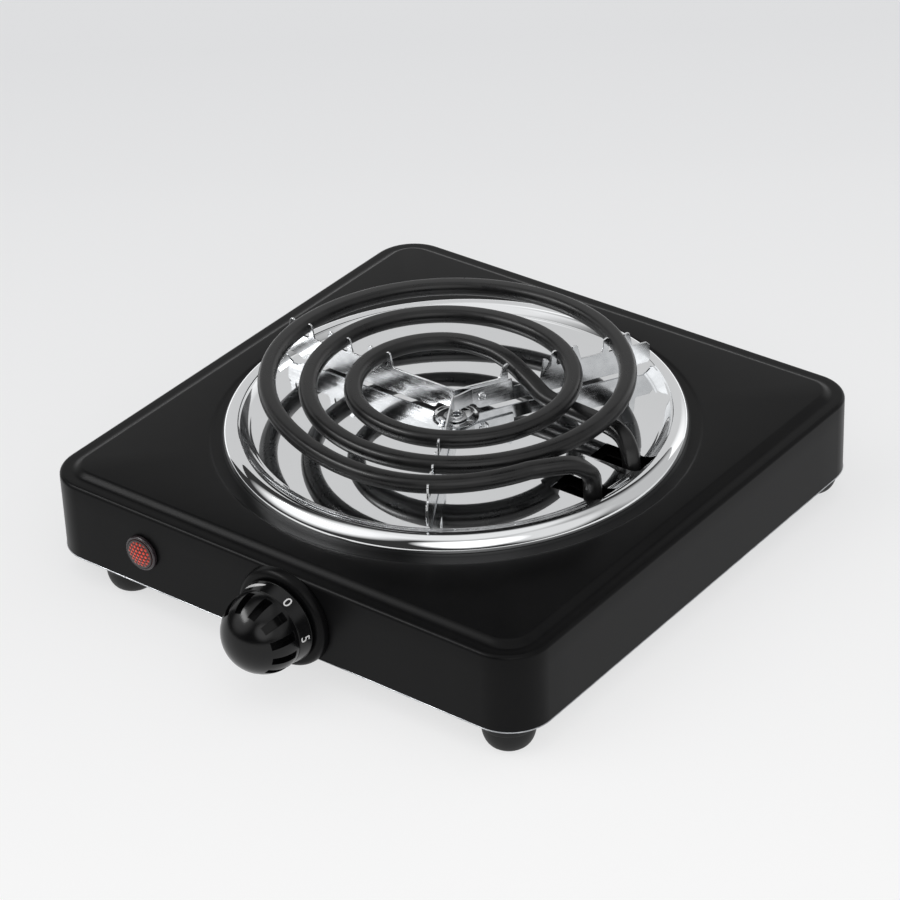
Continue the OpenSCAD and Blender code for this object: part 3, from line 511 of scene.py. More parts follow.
def make_lens_finish():
    """Red translucent moulding with painted light and shade: bright red cells that also glow as painted
    light, and grooves between them painted nearly black as painted shade.
    """
    # painted light: the emission strength makes the cells glow
    made = finish("lens_red", (0.62, 0.055, 0.018), (0.50, 0.035, 0.014), (0.10, 0.18), blotch=(300, 0.15),
                  grain=(2500, 0.003), coat=0.3, fixed={"Emission Strength": 0.28})
    tree = made.node_tree
    shader = next(n for n in tree.nodes if n.bl_idname == "ShaderNodeBsdfPrincipled")
    # the colour layer read here holds painted light and shade: light on the cells' tops, dark in the grooves
    # and towards the rim
    painted_cell_shade = add(tree, "ShaderNodeVertexColor", {"layer_name": "cell"}).outputs["Color"]
    tone = blend_colors(tree, painted_cell_shade, (0.004, 0.001, 0.001), (0.85, 0.055, 0.022))
    tree.links.new(tone, shader.inputs["Base Color"])
    # painted glow: the same painted tones are also sent out as light
    tree.links.new(tone, shader.inputs["Emission Color"])


make_lens_finish()


def wear_finish(piece, name):
    """Gives a piece one finish in place of any it had."""
    piece.data.materials.clear()
    piece.data.materials.append(FINISHES[name])
    return piece


def place_piece(piece, body, slot, *nodes):
    """The piece takes its finish, rides on the body and stands for the CAD nodes named."""
    wear_finish(piece, slot)
    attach(piece, body)
    if nodes:
        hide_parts(*nodes)
    return piece


# ---------------------------------------------------------------- casing


def rounded_ring(inset, z):
    """The casing's outline, moved in by inset, at height z."""
    half_w = (case_high.x - case_low.x) / 2 - inset
    half_d = (case_high.y - case_low.y) / 2 - inset
    r = max(corner_r - inset, 0.5)
    corners = []
    for k, (sx, sy) in enumerate(((1, 1), (-1, 1), (-1, -1), (1, -1))):
        x, y = centre_x + sx * (half_w - r), centre_y + sy * (half_d - r)
        corners.append(arc(x, y, r, 90 * k, 90 * k + 90, 14))
    ring = []
    for k, corner in enumerate(corners):
        ring += corner
        (x0, y0), (x1, y1) = corner[-1], corners[(k + 1) % 4][0]
        ring += [(x0 + (x1 - x0) * i / 16, y0 + (y1 - y0) * i / 16) for i in range(1, 16)]
    return [(x, y, z) for x, y in ring]


def disc_ring(r, z):
    """A circle around the pan's middle, with its points in line with those of the casing's outline."""
    ring = []
    for point in rounded_ring(ledge_w + slope_w, z):
        a = atan2(point[1] - centre_y, point[0] - centre_x)
        ring.append((centre_x + r * cos(a), centre_y + r * sin(a), z))
    return ring


def make_casing():
    """The pressed shell: walls with a rolled lower lip, rounded edge, ledge, soft slope and raised panel."""
    edge_r = 1.6
    wall = 0.25
    spindle_hole_r, lamp_hole_r, gland_hole_r = 5.1, 6.2, 5.6
    # the middle stays open under the pan, where the pan's screw goes through
    hub_hole_r = 8.0
    outer = [(wall + 0.5, base_z + 0.5), (wall + 0.35, base_z + 0.2), (wall + 0.1, base_z + 0.25),
             (wall, base_z + 0.4), (wall, base_z + 1.3)]
    outer += [(wall, base_z + 8), (wall, ledge_z - 9)]
    outer += [(wall + edge_r - u, w) for u, w in arc(0, ledge_z - edge_r, edge_r, 0, 90, 7)]
    outer += [(ledge_w - 1.2, ledge_z)]
    for i in range(11):
        t = i / 10
        outer.append((ledge_w + slope_w * t, ledge_z + panel_rise * (1 - cos(pi * t)) / 2))
    rings = [rounded_ring(inset, z) for inset, z in outer]
    recess_z = panel_z - recess_d
    for r, z in ((recess_r + 1.2, panel_z), (recess_r + 0.3, panel_z), (recess_r, panel_z - 0.06),
                 (recess_r - 0.6, recess_z + 0.06), (recess_r - 0.9, recess_z), (pan_r - 1, recess_z),
                 (60, recess_z), (hub_hole_r, recess_z), (hub_hole_r, recess_z - sheet_t),
                 (pan_r - 1, recess_z - sheet_t), (recess_r + 1, panel_z - sheet_t)):
        rings.append(disc_ring(r, z))
    inner = [(ledge_w + slope_w, panel_z - sheet_t), (ledge_w, ledge_z - sheet_t),
             (wall + edge_r, ledge_z - sheet_t), (wall + sheet_t + 0.2, ledge_z - edge_r),
             (wall + sheet_t, base_z + 6), (wall + sheet_t, base_z + 0.9)]
    rings += [rounded_ring(inset, z) for inset, z in inner]
    points, faces = skin(rings, wrap=True)
    casing = solid("casing_shell", points, faces)
    through = 4.0
    cuts = [box_part((window_x[0], centre_y + y - window_half, panel_z - through),
                     (window_x[1], centre_y + y + window_half, panel_z + through)) for y in leg_y]
    gland_low, gland_high = box_mm("cord_gland")
    gland_x, gland_z = (gland_low.x + gland_high.x) / 2, (gland_low.z + gland_high.z) / 2
    for x, z, r, y in ((knob_x, knob_z, spindle_hole_r, wall_front),
                       (lamp_x, lamp_z, lamp_hole_r, wall_front),
                       (gland_x, gland_z, gland_hole_r, case_high.y)):
        cuts.append(rod_part(x, z, r, y - 3, y + 3))
    cut(casing, cuts)
    crisp(casing, 38)
    return place_piece(casing, "base", "black_paint", "casing")


make_casing()


def make_lower_bead():
    """The bare edge of the sheet, turned outwards along the casing's lower edge."""
    bead_r = 0.27
    rings = [rounded_ring(0.3 - u, base_z + w) for u, w in arc(0, 0.4, bead_r, 90, -240, 11)]
    bead = crisp(solid("lower_bead", *skin(rings, wrap=True)), 60)
    return place_piece(bead, "base", "zinc_steel")


make_lower_bead()

# ---------------------------------------------------------------- feet


def make_feet():
    """Four moulded rubber feet with a rounded lower edge, a moulding line and a recess for the screw."""
    r_top = 10.5
    screw_r = 2.05
    recess_foot_r = 4.6
    round_r = 8.2
    height = feet_high.z
    profile = [(screw_r, height), (r_top - 0.4, height), (r_top, height - 0.4), (r_top, height - 2.3),
               (r_top - 0.12, height - 2.6), (r_top - 0.3, height - 2.8)]
    profile += [(5.8 + (r_top - 6.1) * cos(radians(a)), round_r + round_r * sin(radians(a)))
                for a in range(-10, -91, -10)]
    profile += [(recess_foot_r + 0.3, 0.0), (recess_foot_r, 0.3), (recess_foot_r, 6.0), (screw_r, 6.0)]
    parts = []
    for x in (feet_low.x + r_top, feet_high.x - r_top):
        for y in (feet_low.y + r_top, feet_high.y - r_top):
            parts.append(turned(profile, upright(x, y, 0), 64))
    feet = crisp(solid("rubber_feet", *joined(parts)))
    return place_piece(feet, "base", "rubber_black", "feet")


make_feet()

# ---------------------------------------------------------------- drip pan


def make_pan():
    """The chromed pan: rounded outer rim, crest, a small bead inside it and a flat floor."""
    sheet = 0.5
    upper = [(crest_r + 5.0 * cos(radians(a)), rim_h * sin(radians(a))) for a in range(0, 91, 6)]
    upper += [(crest_r - 1.2, rim_h - 0.05), (crest_r - 1.9, rim_h - 0.22), (crest_r - 2.15, rim_h - 0.45)]
    upper += [(crest_r - 2.3, rim_h - 0.55), (crest_r - 2.7, rim_h - 0.62), (crest_r - 3.1, rim_h - 0.85)]
    upper += [(crest_r - 3.1 - 3.3 * sin(radians(a)), floor_h + 0.28 + 1.37 * (1 - sin(radians(a))) ** 1.3)
              for a in range(10, 90, 10)]
    upper += [(crest_r - 6.7, floor_h + 0.22), (crest_r - 7.1, floor_h + 0.05), (crest_r - 7.6, floor_h),
              (40, floor_h), (9.5, floor_h)]
    upper += [(8.9, floor_h - 0.05), (8.2, floor_h - 0.35), (7.4, floor_h - 0.4), (2.1, floor_h - 0.4)]
    upper.insert(0, (crest_r + 5.0, -recess_d))
    lower = [(max(r - sheet, 2.1) if r > crest_r else r, h - (sheet if r <= crest_r + 3 else sheet * 0.5))
             for r, h in upper[::-1]]
    lower[-1] = (crest_r + 5.0 - sheet, -recess_d)
    pan = solid("pan_dish", *turned(upper + lower, upright(centre_x, centre_y, panel_z), 180))
    cuts = [box_part((window_x[0], centre_y + y - window_half, panel_z + 1.5),
                     (window_x[1], centre_y + y + window_half, panel_z + 12)) for y in leg_y]
    cut(pan, cuts)
    crisp(pan, 26)
    return place_piece(pan, "base", "chrome", "drip_pan")


make_pan()


def make_pan_fixing():
    """The hollow fixing in the pan's middle: a rolled lip round a dark bore, on a washer with bent ears."""
    lip = [(2.2, -6.0), (2.2, 0.7), (2.3, 1.05), (2.6, 1.25), (3.0, 1.2), (3.25, 0.9), (3.25, 0.55),
           (3.0, 0.35), (2.7, 0.3), (2.6, -6.0)]
    washer = [(3.0, 0.0), (4.6, 0.0), (4.8, 0.12), (4.6, 0.45), (3.0, 0.45)]
    stand = upright(centre_x, centre_y, floor_z)
    parts = [turned(lip, stand, 48), turned(washer, stand, 48)]
    for a in (48, 128, 250):
        ear = []
        for r, h in ((4.0, 0.1), (5.2, 0.25), (6.4, 0.9), (7.6, 1.5)):
            half = 2.4 - 0.12 * (r - 4) ** 2
            ear.append([(r, -half, h), (r, half, h), (r, half, h + 0.4), (r, -half, h + 0.4)])
        turn = Matrix.Rotation(radians(a), 3, "Z")
        middle = Vector((centre_x, centre_y, floor_z))
        parts.append(capped([[turn @ Vector(p) + middle for p in ring] for ring in ear]))
    fixing = soften(crisp(solid("pan_fixing", *joined(parts))), 0.1)
    return place_piece(fixing, "base", "bright_steel", "pan_screw")


make_pan_fixing()

# ---------------------------------------------------------------- heating spiral

STATIONS = ((0, 71), (40, 74), (90, 70.5), (160, 76.5), (240, 73), (320, 65.5), (400, 60), (460, 57),
            (530, 56.3), (600, 49.2), (690, 45.3), (780, 41.2), (860, 38), (920, 31.8), (950, 27.8))
SPIRAL_START = -24
SPIRAL_END = 950


def spiral_radius(s):
    """Radius at s degrees from the outer end, on a smooth line through the stations."""
    last = len(STATIONS) - 1
    i = next((k for k in range(last) if s <= STATIONS[k + 1][0]), last - 1)
    a, b, c, d = STATIONS[max(i - 1, 0)], STATIONS[i], STATIONS[i + 1], STATIONS[min(i + 2, last)]
    h = c[0] - b[0]
    t = (s - b[0]) / h
    start, end = h * (c[1] - a[1]) / (c[0] - a[0]), h * (d[1] - b[1]) / (d[0] - b[0])
    return ((2 * t**3 - 3 * t**2 + 1) * b[1] + (t**3 - 2 * t**2 + t) * start
            + (3 * t**2 - 2 * t**3) * c[1] + (t**3 - t**2) * end)


def spiral_point(s):
    a = radians(SPIRAL_START - s)
    return Vector((spiral_radius(s) * cos(a), spiral_radius(s) * sin(a), 0))


def crossing(angle, turn):
    """How far along the spiral it crosses that direction for the given turn."""
    return (SPIRAL_START - angle) % 360 + 360 * turn


def make_tube():
    """The black tube: up from its outer leg, round the spiral, and down under the rings to its inner leg."""
    y0, y1 = leg_y
    low = leg_low - spiral_z
    outer_end = [(leg_x, y0, -14), (leg_x, y0 - 0.8, -8), (leg_x - 1, y0 - 4.2, -3.2),
                 (leg_x - 4.5, y0 - 9, -0.4)]
    inner_end = [(0, 27, -0.3), (9, 26, -2), (19, 24, -5.6), (30, 20.8, -8.4), (46, 19.8, -9),
                 (60, 18.8, -9.2), (leg_x - 8, y1 + 5.4, -9.8), (leg_x - 3, y1 + 2.4, -12.4),
                 (leg_x - 0.5, y1 + 0.4, -17), (leg_x, y1, -21)]
    path = [Vector((leg_x, y0, low))]
    path += smooth_line([Vector(p) for p in outer_end] + [spiral_point(6)], 6)
    path += [spiral_point(s) for s in range(9, SPIRAL_END - 3, 3)]
    path += smooth_line([spiral_point(SPIRAL_END)] + [Vector(p) for p in inner_end], 6)
    path += [Vector((leg_x, y1, low))]
    move = Vector((centre_x, centre_y, spiral_z))
    tube = solid("spiral_tube", *bar([p + move for p in path], tube_r, 32, (-1, 0, 0), flat_top))
    crisp(tube, 50)
    return place_piece(tube, "element", "tube_black", "heating_tube")


make_tube()

# ---------------------------------------------------------------- support arms

arm_t = 0.8
arm_top = spiral_z - tube_r - 0.1
arm_low = floor_z + 1.2
arm_reach = 84.0
hub_relief = 9.0
hub_low = floor_z + 3.8
rivet_out = 11.0


def arm_outline(angle, start):
    """Side view of an arm, as (distance from the middle, height), with an ear on each side of every ring."""
    ear_w = 2.6
    ear_rise = spiral_z + 1.4
    lean = 0.9
    crest_z = panel_z + rim_h + 0.4
    outline = [(start, hub_low), (hub_relief - 1.5, hub_low)]
    outline += [(u, w) for u, w in arc(hub_relief + 1.5, arm_low + 1.5, 1.5, 180, 270, 4)]
    outline += [(floor_r - 3.0, arm_low), (floor_r - 1.0, arm_low + 1.2), (floor_r - 0.6, crest_z - 0.6)]
    outline += [(floor_r + 0.2, crest_z), (arm_reach - 1, crest_z), (arm_reach, crest_z + 1)]
    outline += [(arm_reach, arm_top - 1.5), (arm_reach - 1.5, arm_top)]
    rings = [spiral_radius(crossing(angle, k)) for k in range(3) if crossing(angle, k) < SPIRAL_END - 40]
    for r in rings:
        for side in (1, -1):
            middle = r + side * (tube_r + 0.35 + ear_w / 2)
            top = [(u - side * lean, w) for u, w in arc(middle, ear_rise, ear_w / 2, 0, 180, 8)]
            outline += [(middle + ear_w / 2 + 0.5, arm_top), (middle + ear_w / 2, arm_top + 0.6)]
            outline += top
            outline += [(middle - ear_w / 2, arm_top + 0.6), (middle - ear_w / 2 - 0.5, arm_top)]
    if angle == rear_arm:
        # room for the tube's inner end, where it starts down
        low = arm_top - 5.1
        outline += [(41.5, arm_top), (40.6, arm_top + 2), (39.2, spiral_z - 0.2), (38.0, spiral_z + 0.1),
                    (37.6, arm_top + 1), (36.5, low + 0.8), (35.6, low), (23.8, low), (22.8, low + 1)]
        outline += [(22.6, spiral_z + 0.5), (23.3, spiral_z + 1.6), (22.6, spiral_z + 2.3),
                    (21.2, spiral_z + 1.6), (20.2, spiral_z), (19.6, arm_top + 1.2), (18.2, arm_top)]
    outline += [(start, arm_top)]
    return outline


def arm_place(angle, shift=0.0):
    """Maps (distance, height, across) onto an arm's plane."""
    a = radians(angle)

    def place(u, w, across):
        across += shift
        return (centre_x + u * cos(a) - across * sin(a), centre_y + u * sin(a) + across * cos(a), w)

    return place


def make_arms():
    """Two strips bent from one, and a third riveted to them."""
    fold_r = arm_t * 0.62
    fold = [(0.0, hub_low), (fold_r, hub_low), (fold_r, arm_top), (0.0, arm_top)]
    pair = joined([plate(arm_outline(left_arm, 0.0), arm_t, arm_place(left_arm)),
                   plate(arm_outline(rear_arm, 0.0), arm_t, arm_place(rear_arm)),
                   turned(fold, upright(centre_x, centre_y, 0), 24)])
    pair = crisp(soften(solid("bent_arms", *pair), 0.14))
    place_piece(pair, "element", "bright_steel", "arm_pair")
    low, high = arm_low + 3.4, arm_top - 1.0
    flange = [(7.0, low), (24.0, low), (24.0, high), (7.0, high)]
    bend = [(centre_x + u, centre_y + v) for u, v in ((2.0, -3.46), (2.9, -0.6), (4.2, 5.66))]
    third = joined([plate(arm_outline(front_arm, 4.0), arm_t, arm_place(front_arm)),
                    plate(flange, arm_t, arm_place(rear_arm, -arm_t)), bent_strip(bend, low, high)])
    third = crisp(soften(solid("third_arm", *third), 0.14))
    place_piece(third, "element", "bright_steel", "single_arm")


def bent_strip(line, low, high):
    """A strip that follows a line seen from above."""
    sides = []
    for i, (x, y) in enumerate(line):
        x0, y0 = line[max(i - 1, 0)]
        x1, y1 = line[min(i + 1, len(line) - 1)]
        length = hypot(x1 - x0, y1 - y0)
        nx, ny = (y1 - y0) / length * arm_t / 2, -(x1 - x0) / length * arm_t / 2
        sides.append([(x + nx, y + ny, low), (x - nx, y - ny, low), (x - nx, y - ny, high),
                      (x + nx, y + ny, high)])
    return capped(sides)


def make_rivet():
    """The hollow rivet through the arms, with a rolled lip round its bore."""
    profile = [(0.0, 0.0), (1.9, 0.0), (2.0, 0.25), (1.8, 0.6), (1.45, 0.72), (1.1, 0.6), (0.95, 0.25),
               (0.55, 0.2), (0.45, 0.4), (0.0, 0.45)]
    middle = (arm_low + arm_top) / 2
    parts = []
    for side, face in ((1, 0.5 * arm_t), (-1, -1.5 * arm_t)):

        def place(u, v, h):
            return arm_place(rear_arm)(rivet_out + u, middle + v, face + side * h)

        parts.append(turned(profile, place, 40))
    rivet = crisp(solid("arm_rivet_heads", *joined(parts)))
    return place_piece(rivet, "element", "bright_steel", "arm_rivet")


make_arms()
make_rivet()

# ---------------------------------------------------------------- knob

GRIPS = 12
dome_r = 16.0
dome_v = knob_l - dome_r
core_r = dome_r - 2.4
skirt_r = (knob_high.x - knob_low.x) / 2
grip_v = (knob_back + 8.4, knob_l - 6.2)
# how far the print and the painted highlight stand off the skirt
print_and_highlight_low, print_and_highlight_high = -0.1, 0.07
on_wall = outward(knob_x, wall_front, knob_z)


def skirt_line():
    """The skirt's sloping face, as (radius, distance out) from its outer edge to its inner one."""
    return (skirt_r - 0.2, knob_back + 1.4), (dome_r - 0.1, knob_back + 6.2)


def make_knob():
    """A domed cap with slots all round it, on a sloping skirt; hollow behind, with a hub for the spindle."""
    hub_r, bore_r, bore_end = 6.0, 3.05, 20.0
    (r0, v0), (r1, v1) = skirt_line()
    profile = [(0.0, knob_l)]
    profile += [(dome_r * cos(radians(a)), dome_v + dome_r * sin(radians(a))) for a in range(86, -9, -4)]
    profile += [(core_r + 1.9, v1 + 0.5), (core_r + 2.1, v1 + 0.1), (r1, v1)]
    profile += [(r0, v0), (skirt_r - 0.08, v0 - 0.5), (skirt_r, knob_back + 0.9)]
    profile += [(skirt_r - 0.1, knob_back + 0.3), (skirt_r - 0.5, knob_back), (core_r - 2.6, knob_back)]
    profile += [(core_r - 3.0, knob_back + 10), (hub_r, knob_back + 10), (hub_r, knob_back)]
    profile += [(bore_r, knob_back), (bore_r, bore_end), (0.0, bore_end)]
    knob = solid("knob_cap", *turned(profile, on_wall, 144))
    slots = []
    for i in range(GRIPS):
        a = 2 * pi * (i + 0.5) / GRIPS

        def place(x, y, v):
            return on_wall(x * cos(a) - y * sin(a), x * sin(a) + y * cos(a), v)

        low, high = core_r - 1.4, dome_r + 2.0
        rings = []
        for v, half in ((grip_v[0], 1.75), (grip_v[1], 1.55)):
            rings.append([place(low, -half, v), place(high, -half - 0.2, v), place(high, half + 0.2, v),
                          place(low, half, v)])
        slots.append(capped(rings))
    cut(knob, slots)
    crisp(soften(knob, 0.16, 50), 34)
    return place_piece(knob, "control", "knob_black", "knob")


def on_skirt(angle, along, up, lift):
    """A point on the skirt: angle clockwise from the top, along and up in the print's own plane."""
    (r0, v0), (r1, v1) = skirt_line()
    length = hypot(r1 - r0, v1 - v0)
    middle = (0.5 + up / length, 0.5 - up / length)
    r = r0 * middle[0] + r1 * middle[1] + lift * (v1 - v0) / length
    v = v0 * middle[0] + v1 * middle[1] + lift * (r0 - r1) / length
    a = radians(90 - angle) - along / r
    return on_wall(r * cos(a), r * sin(a), v)


def printed_digit(text, angle):
    """A digit as a thin raised print, bent round the skirt."""
    height = 3.9
    curve = bpy.data.curves.new("digit", "FONT")
    curve.body = text
    curve.align_x = "CENTER"
    curve.resolution_u = 4
    shape = bpy.data.objects.new("digit", curve)
    flat = bpy.data.meshes.new_from_object(shape)
    low = min(v.co.y for v in flat.vertices)
    high = max(v.co.y for v in flat.vertices)
    scale = height / (high - low)
    points, faces = [], []
    for lift in (print_and_highlight_low, print_and_highlight_high):
        for v in flat.vertices:
            points.append(on_skirt(angle, v.co.x * scale, (v.co.y - (low + high) / 2) * scale, lift))
    count = len(flat.vertices)
    edge_use = {}
    for face in flat.polygons:
        faces.append(tuple(face.vertices))
        faces.append(tuple(count + i for i in reversed(face.vertices)))
        for key in face.edge_keys:
            edge_use[key] = edge_use.get(key, 0) + 1
    faces += [(a, b, count + b, count + a) for (a, b), used in edge_use.items() if used == 1]
    bpy.data.objects.remove(shape)
    bpy.data.curves.remove(curve)
    bpy.data.meshes.remove(flat)
    return points, faces


def make_print_and_painted_highlight():
    """The print on the skirt, 0 and 5, and a white crescent along the skirt's upper-left rim that is a
    painted highlight, in the same white as the print.
    """
    parts = [printed_digit("0", 33), printed_digit("5", 89)]
    # painted highlight: a white crescent along the skirt's outer rim on its upper left, thickest in its
    # middle
    painted_highlight_band = []
    steps = 24
    for i in range(steps + 1):
        t = i / steps
        angle = -49 + 41 * t
        width = 0.15 + 1.6 * sin(pi * t) ** 0.7
        ring = []
        for up, lift in ((1.4 - width, print_and_highlight_low), (1.4, print_and_highlight_low), (1.4, print_and_highlight_high),
                         (1.4 - width, print_and_highlight_high)):
            ring.append(on_skirt(angle, 0, up, lift))
        painted_highlight_band.append(ring)
    parts.append(capped(painted_highlight_band))
    scale = crisp(solid("knob_print_and_painted_highlight", *joined(parts)), 30)
    # the print and the painted highlight share the white print finish
    wear_finish(scale, "white_print")
    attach(scale, "control")
    return scale


make_knob()
make_print_and_painted_highlight()


def make_bezel():
    """The black ring between the knob and the wall."""
    profile = [(8.4, 0.0), (bezel_r - 0.2, 0.0), (bezel_r, 0.25), (bezel_r, 0.9)]
    profile += [(bezel_r - 2.6 + 2.5 * cos(radians(a)), 1.3 + (bezel_t - 1.3) * sin(radians(a)))
                for a in range(0, 91, 10)]
    profile += [(skirt_r - 1.2, bezel_t), (skirt_r - 1.9, bezel_t - 0.25), (skirt_r - 2.3, bezel_t - 0.8)]
    profile += [(8.4, bezel_t - 0.8)]
    bezel = crisp(solid("bezel_ring", *turned(profile, on_wall, 128)), 30)
    return place_piece(bezel, "base", "bezel_black", "knob_bezel")


make_bezel()

# ---------------------------------------------------------------- pilot lamp

on_lamp = outward(lamp_x, wall_front, lamp_z)


def make_lens():
    """A domed lens whose face is a honeycomb of small cells."""
    pitch = 1.75
    dome = 1.1
    lens_out = wall_front - lens_low.y

    def cell_height(x, y):
        """1 in the middle of a cell, 0 in the groove between two."""
        row = pitch * sqrt(3) / 2
        best = sorted(hypot(x - (i + 0.5 * (j % 2)) * pitch, y - j * row)
                      for j in range(int(y / row) - 2, int(y / row) + 3)
                      for i in range(int(x / pitch) - 2, int(x / pitch) + 3))
        return min(max((best[1] - best[0]) / (0.55 * pitch) - 0.3, 0.0), 1.0)

    circles = 34
    rings_r = [lens_r * i / circles for i in range(1, circles + 1)]
    steps = 120
    # each point also gets a painted shade for the lens's finish, kept in the cell colour layer
    points, painted_cell_shades = [on_lamp(0, 0, lens_out)], [1.0]
    for r in rings_r:
        for k in range(steps):
            a = 2 * pi * k / steps
            x, y = r * cos(a), r * sin(a)
            plain = min(max((lens_r * 0.93 - r) / 0.5, 0.0), 1.0)
            cell = cell_height(x, y)
            depth = 0.35 * (1 - cell) ** 2 * plain
            points.append(on_lamp(x, y, lens_out - dome * (r / lens_r) ** 2 - depth))
            # painted light and shade: the cells' tops light, the grooves and the plain edge dark, and the
            # cells darker towards the rim
            painted_cell_shades.append(cell * plain * (0.3 + 0.7 * (1 - (r / lens_r) ** 3)))
    back = lens_out - dome - 1.6
    for k in range(steps):
        a = 2 * pi * k / steps
        points.append(on_lamp(lens_r * cos(a), lens_r * sin(a), back))
        # painted shade: the lens's back edge is dim
        painted_cell_shades.append(0.2)
    faces = [(0, 1 + k, 1 + (k + 1) % steps) for k in range(steps)]
    for i in range(len(rings_r)):
        for k in range(steps):
            m = (k + 1) % steps
            a, b = 1 + i * steps, 1 + (i + 1) * steps
            faces.append((a + k, b + k, b + m, a + m))
    last = 1 + len(rings_r) * steps
    faces.append(tuple(last + k for k in range(steps)))
    mesh = bpy.data.meshes.new("honeycomb_lens")
    mesh.from_pydata([Vector(p) * MM for p in points], [], faces)
    # the cell colour layer carries the painted light and shade
    layer = mesh.color_attributes.new("cell", "FLOAT_COLOR", "POINT")
    for i, shade in enumerate(painted_cell_shades):
        layer.data[i].color = (shade, shade, shade, 1)
    lens = bpy.data.objects.new("honeycomb_lens", mesh)
    bpy.context.scene.collection.objects.link(lens)
    work = bmesh.new()
    work.from_mesh(mesh)
    bmesh.ops.recalc_face_normals(work, faces=work.faces)
    work.to_mesh(mesh)
    work.free()
    crisp(lens, 60)
    return place_piece(lens, "base", "lens_red", "lamp_lens")


def make_lamp_holder():
    """The lamp's rim and the barrel behind the wall."""
    profile = [(5.1, 0.0), (5.1, -12.0), (6.05, -12.0), (6.05, 0.0), (7.1, 0.0), (7.3, 0.2), (7.28, 0.7)]
    profile += [(6.7 + 0.58 * cos(radians(a)), 0.9 + 0.7 * sin(radians(a))) for a in range(15, 91, 15)]
    profile += [(6.3, 1.5), (6.1, 1.2), (6.08, 0.5), (5.1, 0.4)]
    holder = crisp(solid("lamp_rim", *turned(profile, on_lamp, 96)), 30)
    return place_piece(holder, "base", "lamp_body", "lamp_holder")


make_lens()
make_lamp_holder()

# ---------------------------------------------------------------- the CAD nodes that stay

slots = {row["node"]: row["material_slot"] for row in frame["record"]["subparts"]}
WIRES = ("supply_wire", "element_wire", "neutral_wire", "lamp_wires", "earth_wire")
for node_name, node in frame["nodes"].items():
    if node.hide_render:
        continue
    wear_finish(node, slots[node_name])
    weld = node.modifiers.new("weld", "WELD")
    weld.merge_threshold = 1e-5
    if node_name in WIRES:
        node.modifiers.new("round", "SUBSURF").render_levels = 1
    else:
        soften(node, 0.15, 40)

# ---------------------------------------------------------------- floor, light and camera


def make_floor():
    """A plain pale floor whose light is painted in: it glows, a little lighter towards the front, so shadows
    on it stay faint.
    """
    half = 4.0
    corners = [(-half, -half, 0), (half, -half, 0), (half, half, 0), (-half, half, 0)]
    mesh = bpy.data.meshes.new("floor")
    mesh.from_pydata(corners, [], [(0, 1, 2, 3)])
    floor = bpy.data.objects.new("floor", mesh)
    bpy.context.scene.collection.objects.link(floor)
    made = bpy.data.materials.new("floor_painted_light")
    made.use_nodes = True
    tree = made.node_tree
    tree.nodes.clear()
    where = add(tree, "ShaderNodeTexCoord").outputs["Object"]
    axis = add(tree, "ShaderNodeVectorMath", {"operation": "DOT_PRODUCT"}, {0: where, 1: (0.62, -0.784, 0)})
    t = spread(tree, axis.outputs["Value"], -0.46, 0.28)
    tone = (0.3, 0.3, 0.3, 1)
    # painted light: the floor's emission, lighter towards the front, stands in for the light on it and thins
    # the shadows
    painted_floor_light = blend_colors(tree, t, (0.515, 0.52, 0.53), (0.73, 0.73, 0.73))
    shader = add(tree, "ShaderNodeBsdfPrincipled", None, {
        "Base Color": tone, "Roughness": 0.9, "Specular IOR Level": 0.1,
        "Emission Color": painted_floor_light, "Emission Strength": 1.0})
    add(tree, "ShaderNodeOutputMaterial", None, {"Surface": shader.outputs[0]})
    mesh.materials.append(made)


def reflector(name, toward, distance, size, shift, brightness):
    """A pale card that only shows in reflections, square to a direction from the pan's middle; brightness is
    what a mirror would show."""
    toward = Vector(toward).normalized()
    level = Vector((-toward.y, toward.x, 0)).normalized()
    rise = toward.cross(level)
    rise = rise if rise.z > 0 else -rise
    data = bpy.data.lights.new(name, "AREA")
    data.shape = "RECTANGLE"
    data.size, data.size_y = size
    data.energy = brightness * pi * size[0] * size[1]
    card = bpy.data.objects.new(name, data)
    card.location = Vector((centre_x, centre_y, panel_z)) * MM + toward * distance + rise * shift
    across = rise.cross(toward)
    card.rotation_euler = Matrix((across, rise, toward)).transposed().to_euler()
    card.visible_camera = False
    card.visible_diffuse = False
    bpy.context.scene.collection.objects.link(card)


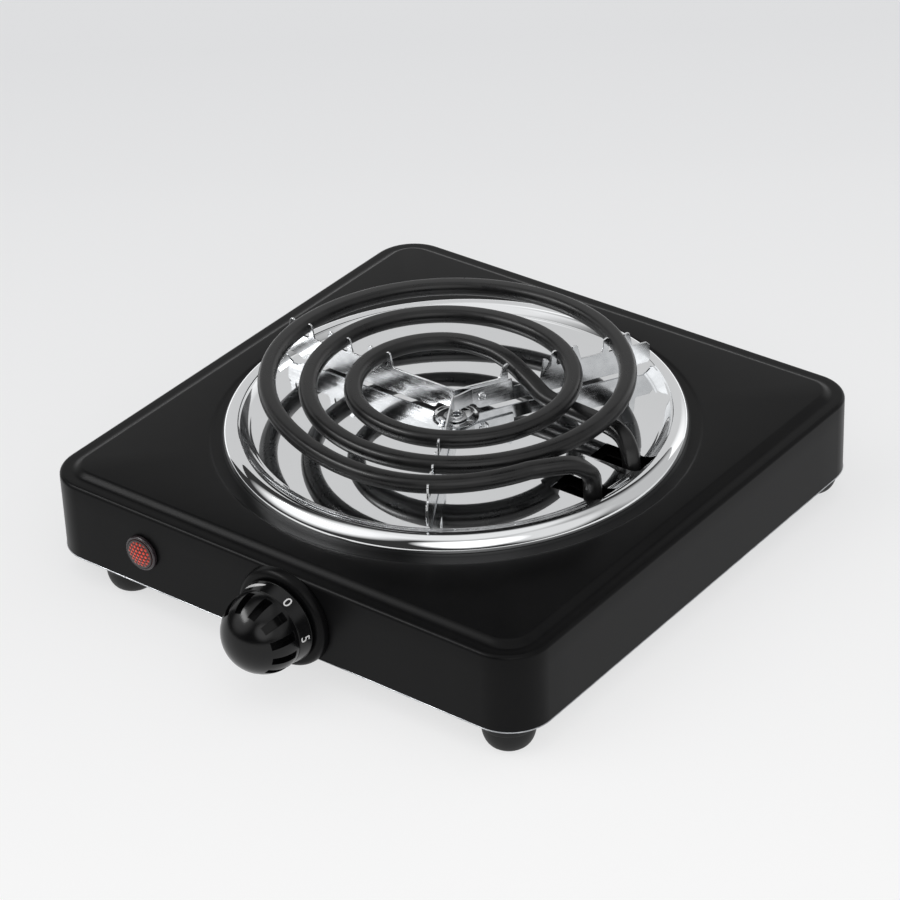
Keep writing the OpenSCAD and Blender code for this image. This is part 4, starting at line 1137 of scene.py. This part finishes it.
def make_world():
    """A dark studio with a wide pale patch overhead and four around it."""
    world = bpy.data.worlds.new("studio")
    bpy.context.scene.world = world
    world.use_nodes = True
    tree = world.node_tree
    tree.nodes.clear()
    direction = add(tree, "ShaderNodeTexCoord").outputs["Generated"]
    tone = (0.04, 0.04, 0.04)
    patches = (((0, 0, 1), 0.93, 0.78, 0.95), ((-0.5, -0.55, 0.67), 0.93, 0.80, 1.2),
               ((0.5, 0.75, 0.42), 0.9, 0.7, 0.6), ((0.84, -0.12, 0.53), 0.94, 0.84, 0.85),
               ((0.58, -0.62, 0.53), 0.96, 0.90, 1.7))
    for toward, near, far, value in patches:
        dot = add(tree, "ShaderNodeVectorMath", {"operation": "DOT_PRODUCT"}, {0: direction, 1: toward})
        near_it = spread(tree, dot.outputs["Value"], far, near)
        tone = blend_colors(tree, near_it, tone, (value, value, value))
    back = add(tree, "ShaderNodeBackground", None, {"Color": tone, "Strength": 1.0})
    add(tree, "ShaderNodeOutputWorld", None, {"Surface": back.outputs[0]})


make_floor()
make_world()
reflector("back_card", (-0.525, 0.664, 0.532), 0.24, (0.9, 0.25), -0.068, 0.66)
reflector("edge_card", (-0.525, -0.532, 0.664), 0.8, (0.5, 0.16), 0, 9.0)
bpy.context.scene.view_settings.view_transform = "Standard"


def make_camera():
    """A long lens from the front right, looking down at the plate."""
    azimuth, elevation, roll = radians(38.35), radians(32.12), radians(-2.40)
    target = Vector((-26.2, 42.05, 11.5)) * MM
    distance = 1.401
    back = Vector((sin(azimuth) * cos(elevation), -cos(azimuth) * cos(elevation), sin(elevation)))
    right = Vector((cos(azimuth), sin(azimuth), 0))
    up = back.cross(right)
    right, up = right * cos(roll) + up * sin(roll), up * cos(roll) - right * sin(roll)
    data = bpy.data.cameras.new("camera")
    data.lens = 137.9
    data.sensor_width = 36
    data.clip_start = 0.05
    camera = bpy.data.objects.new("camera", data)
    turn = Matrix((right, up, back)).transposed().to_4x4()
    camera.matrix_world = Matrix.Translation(target + back * distance) @ turn
    bpy.context.scene.collection.objects.link(camera)
    bpy.context.scene.camera = camera


make_camera()
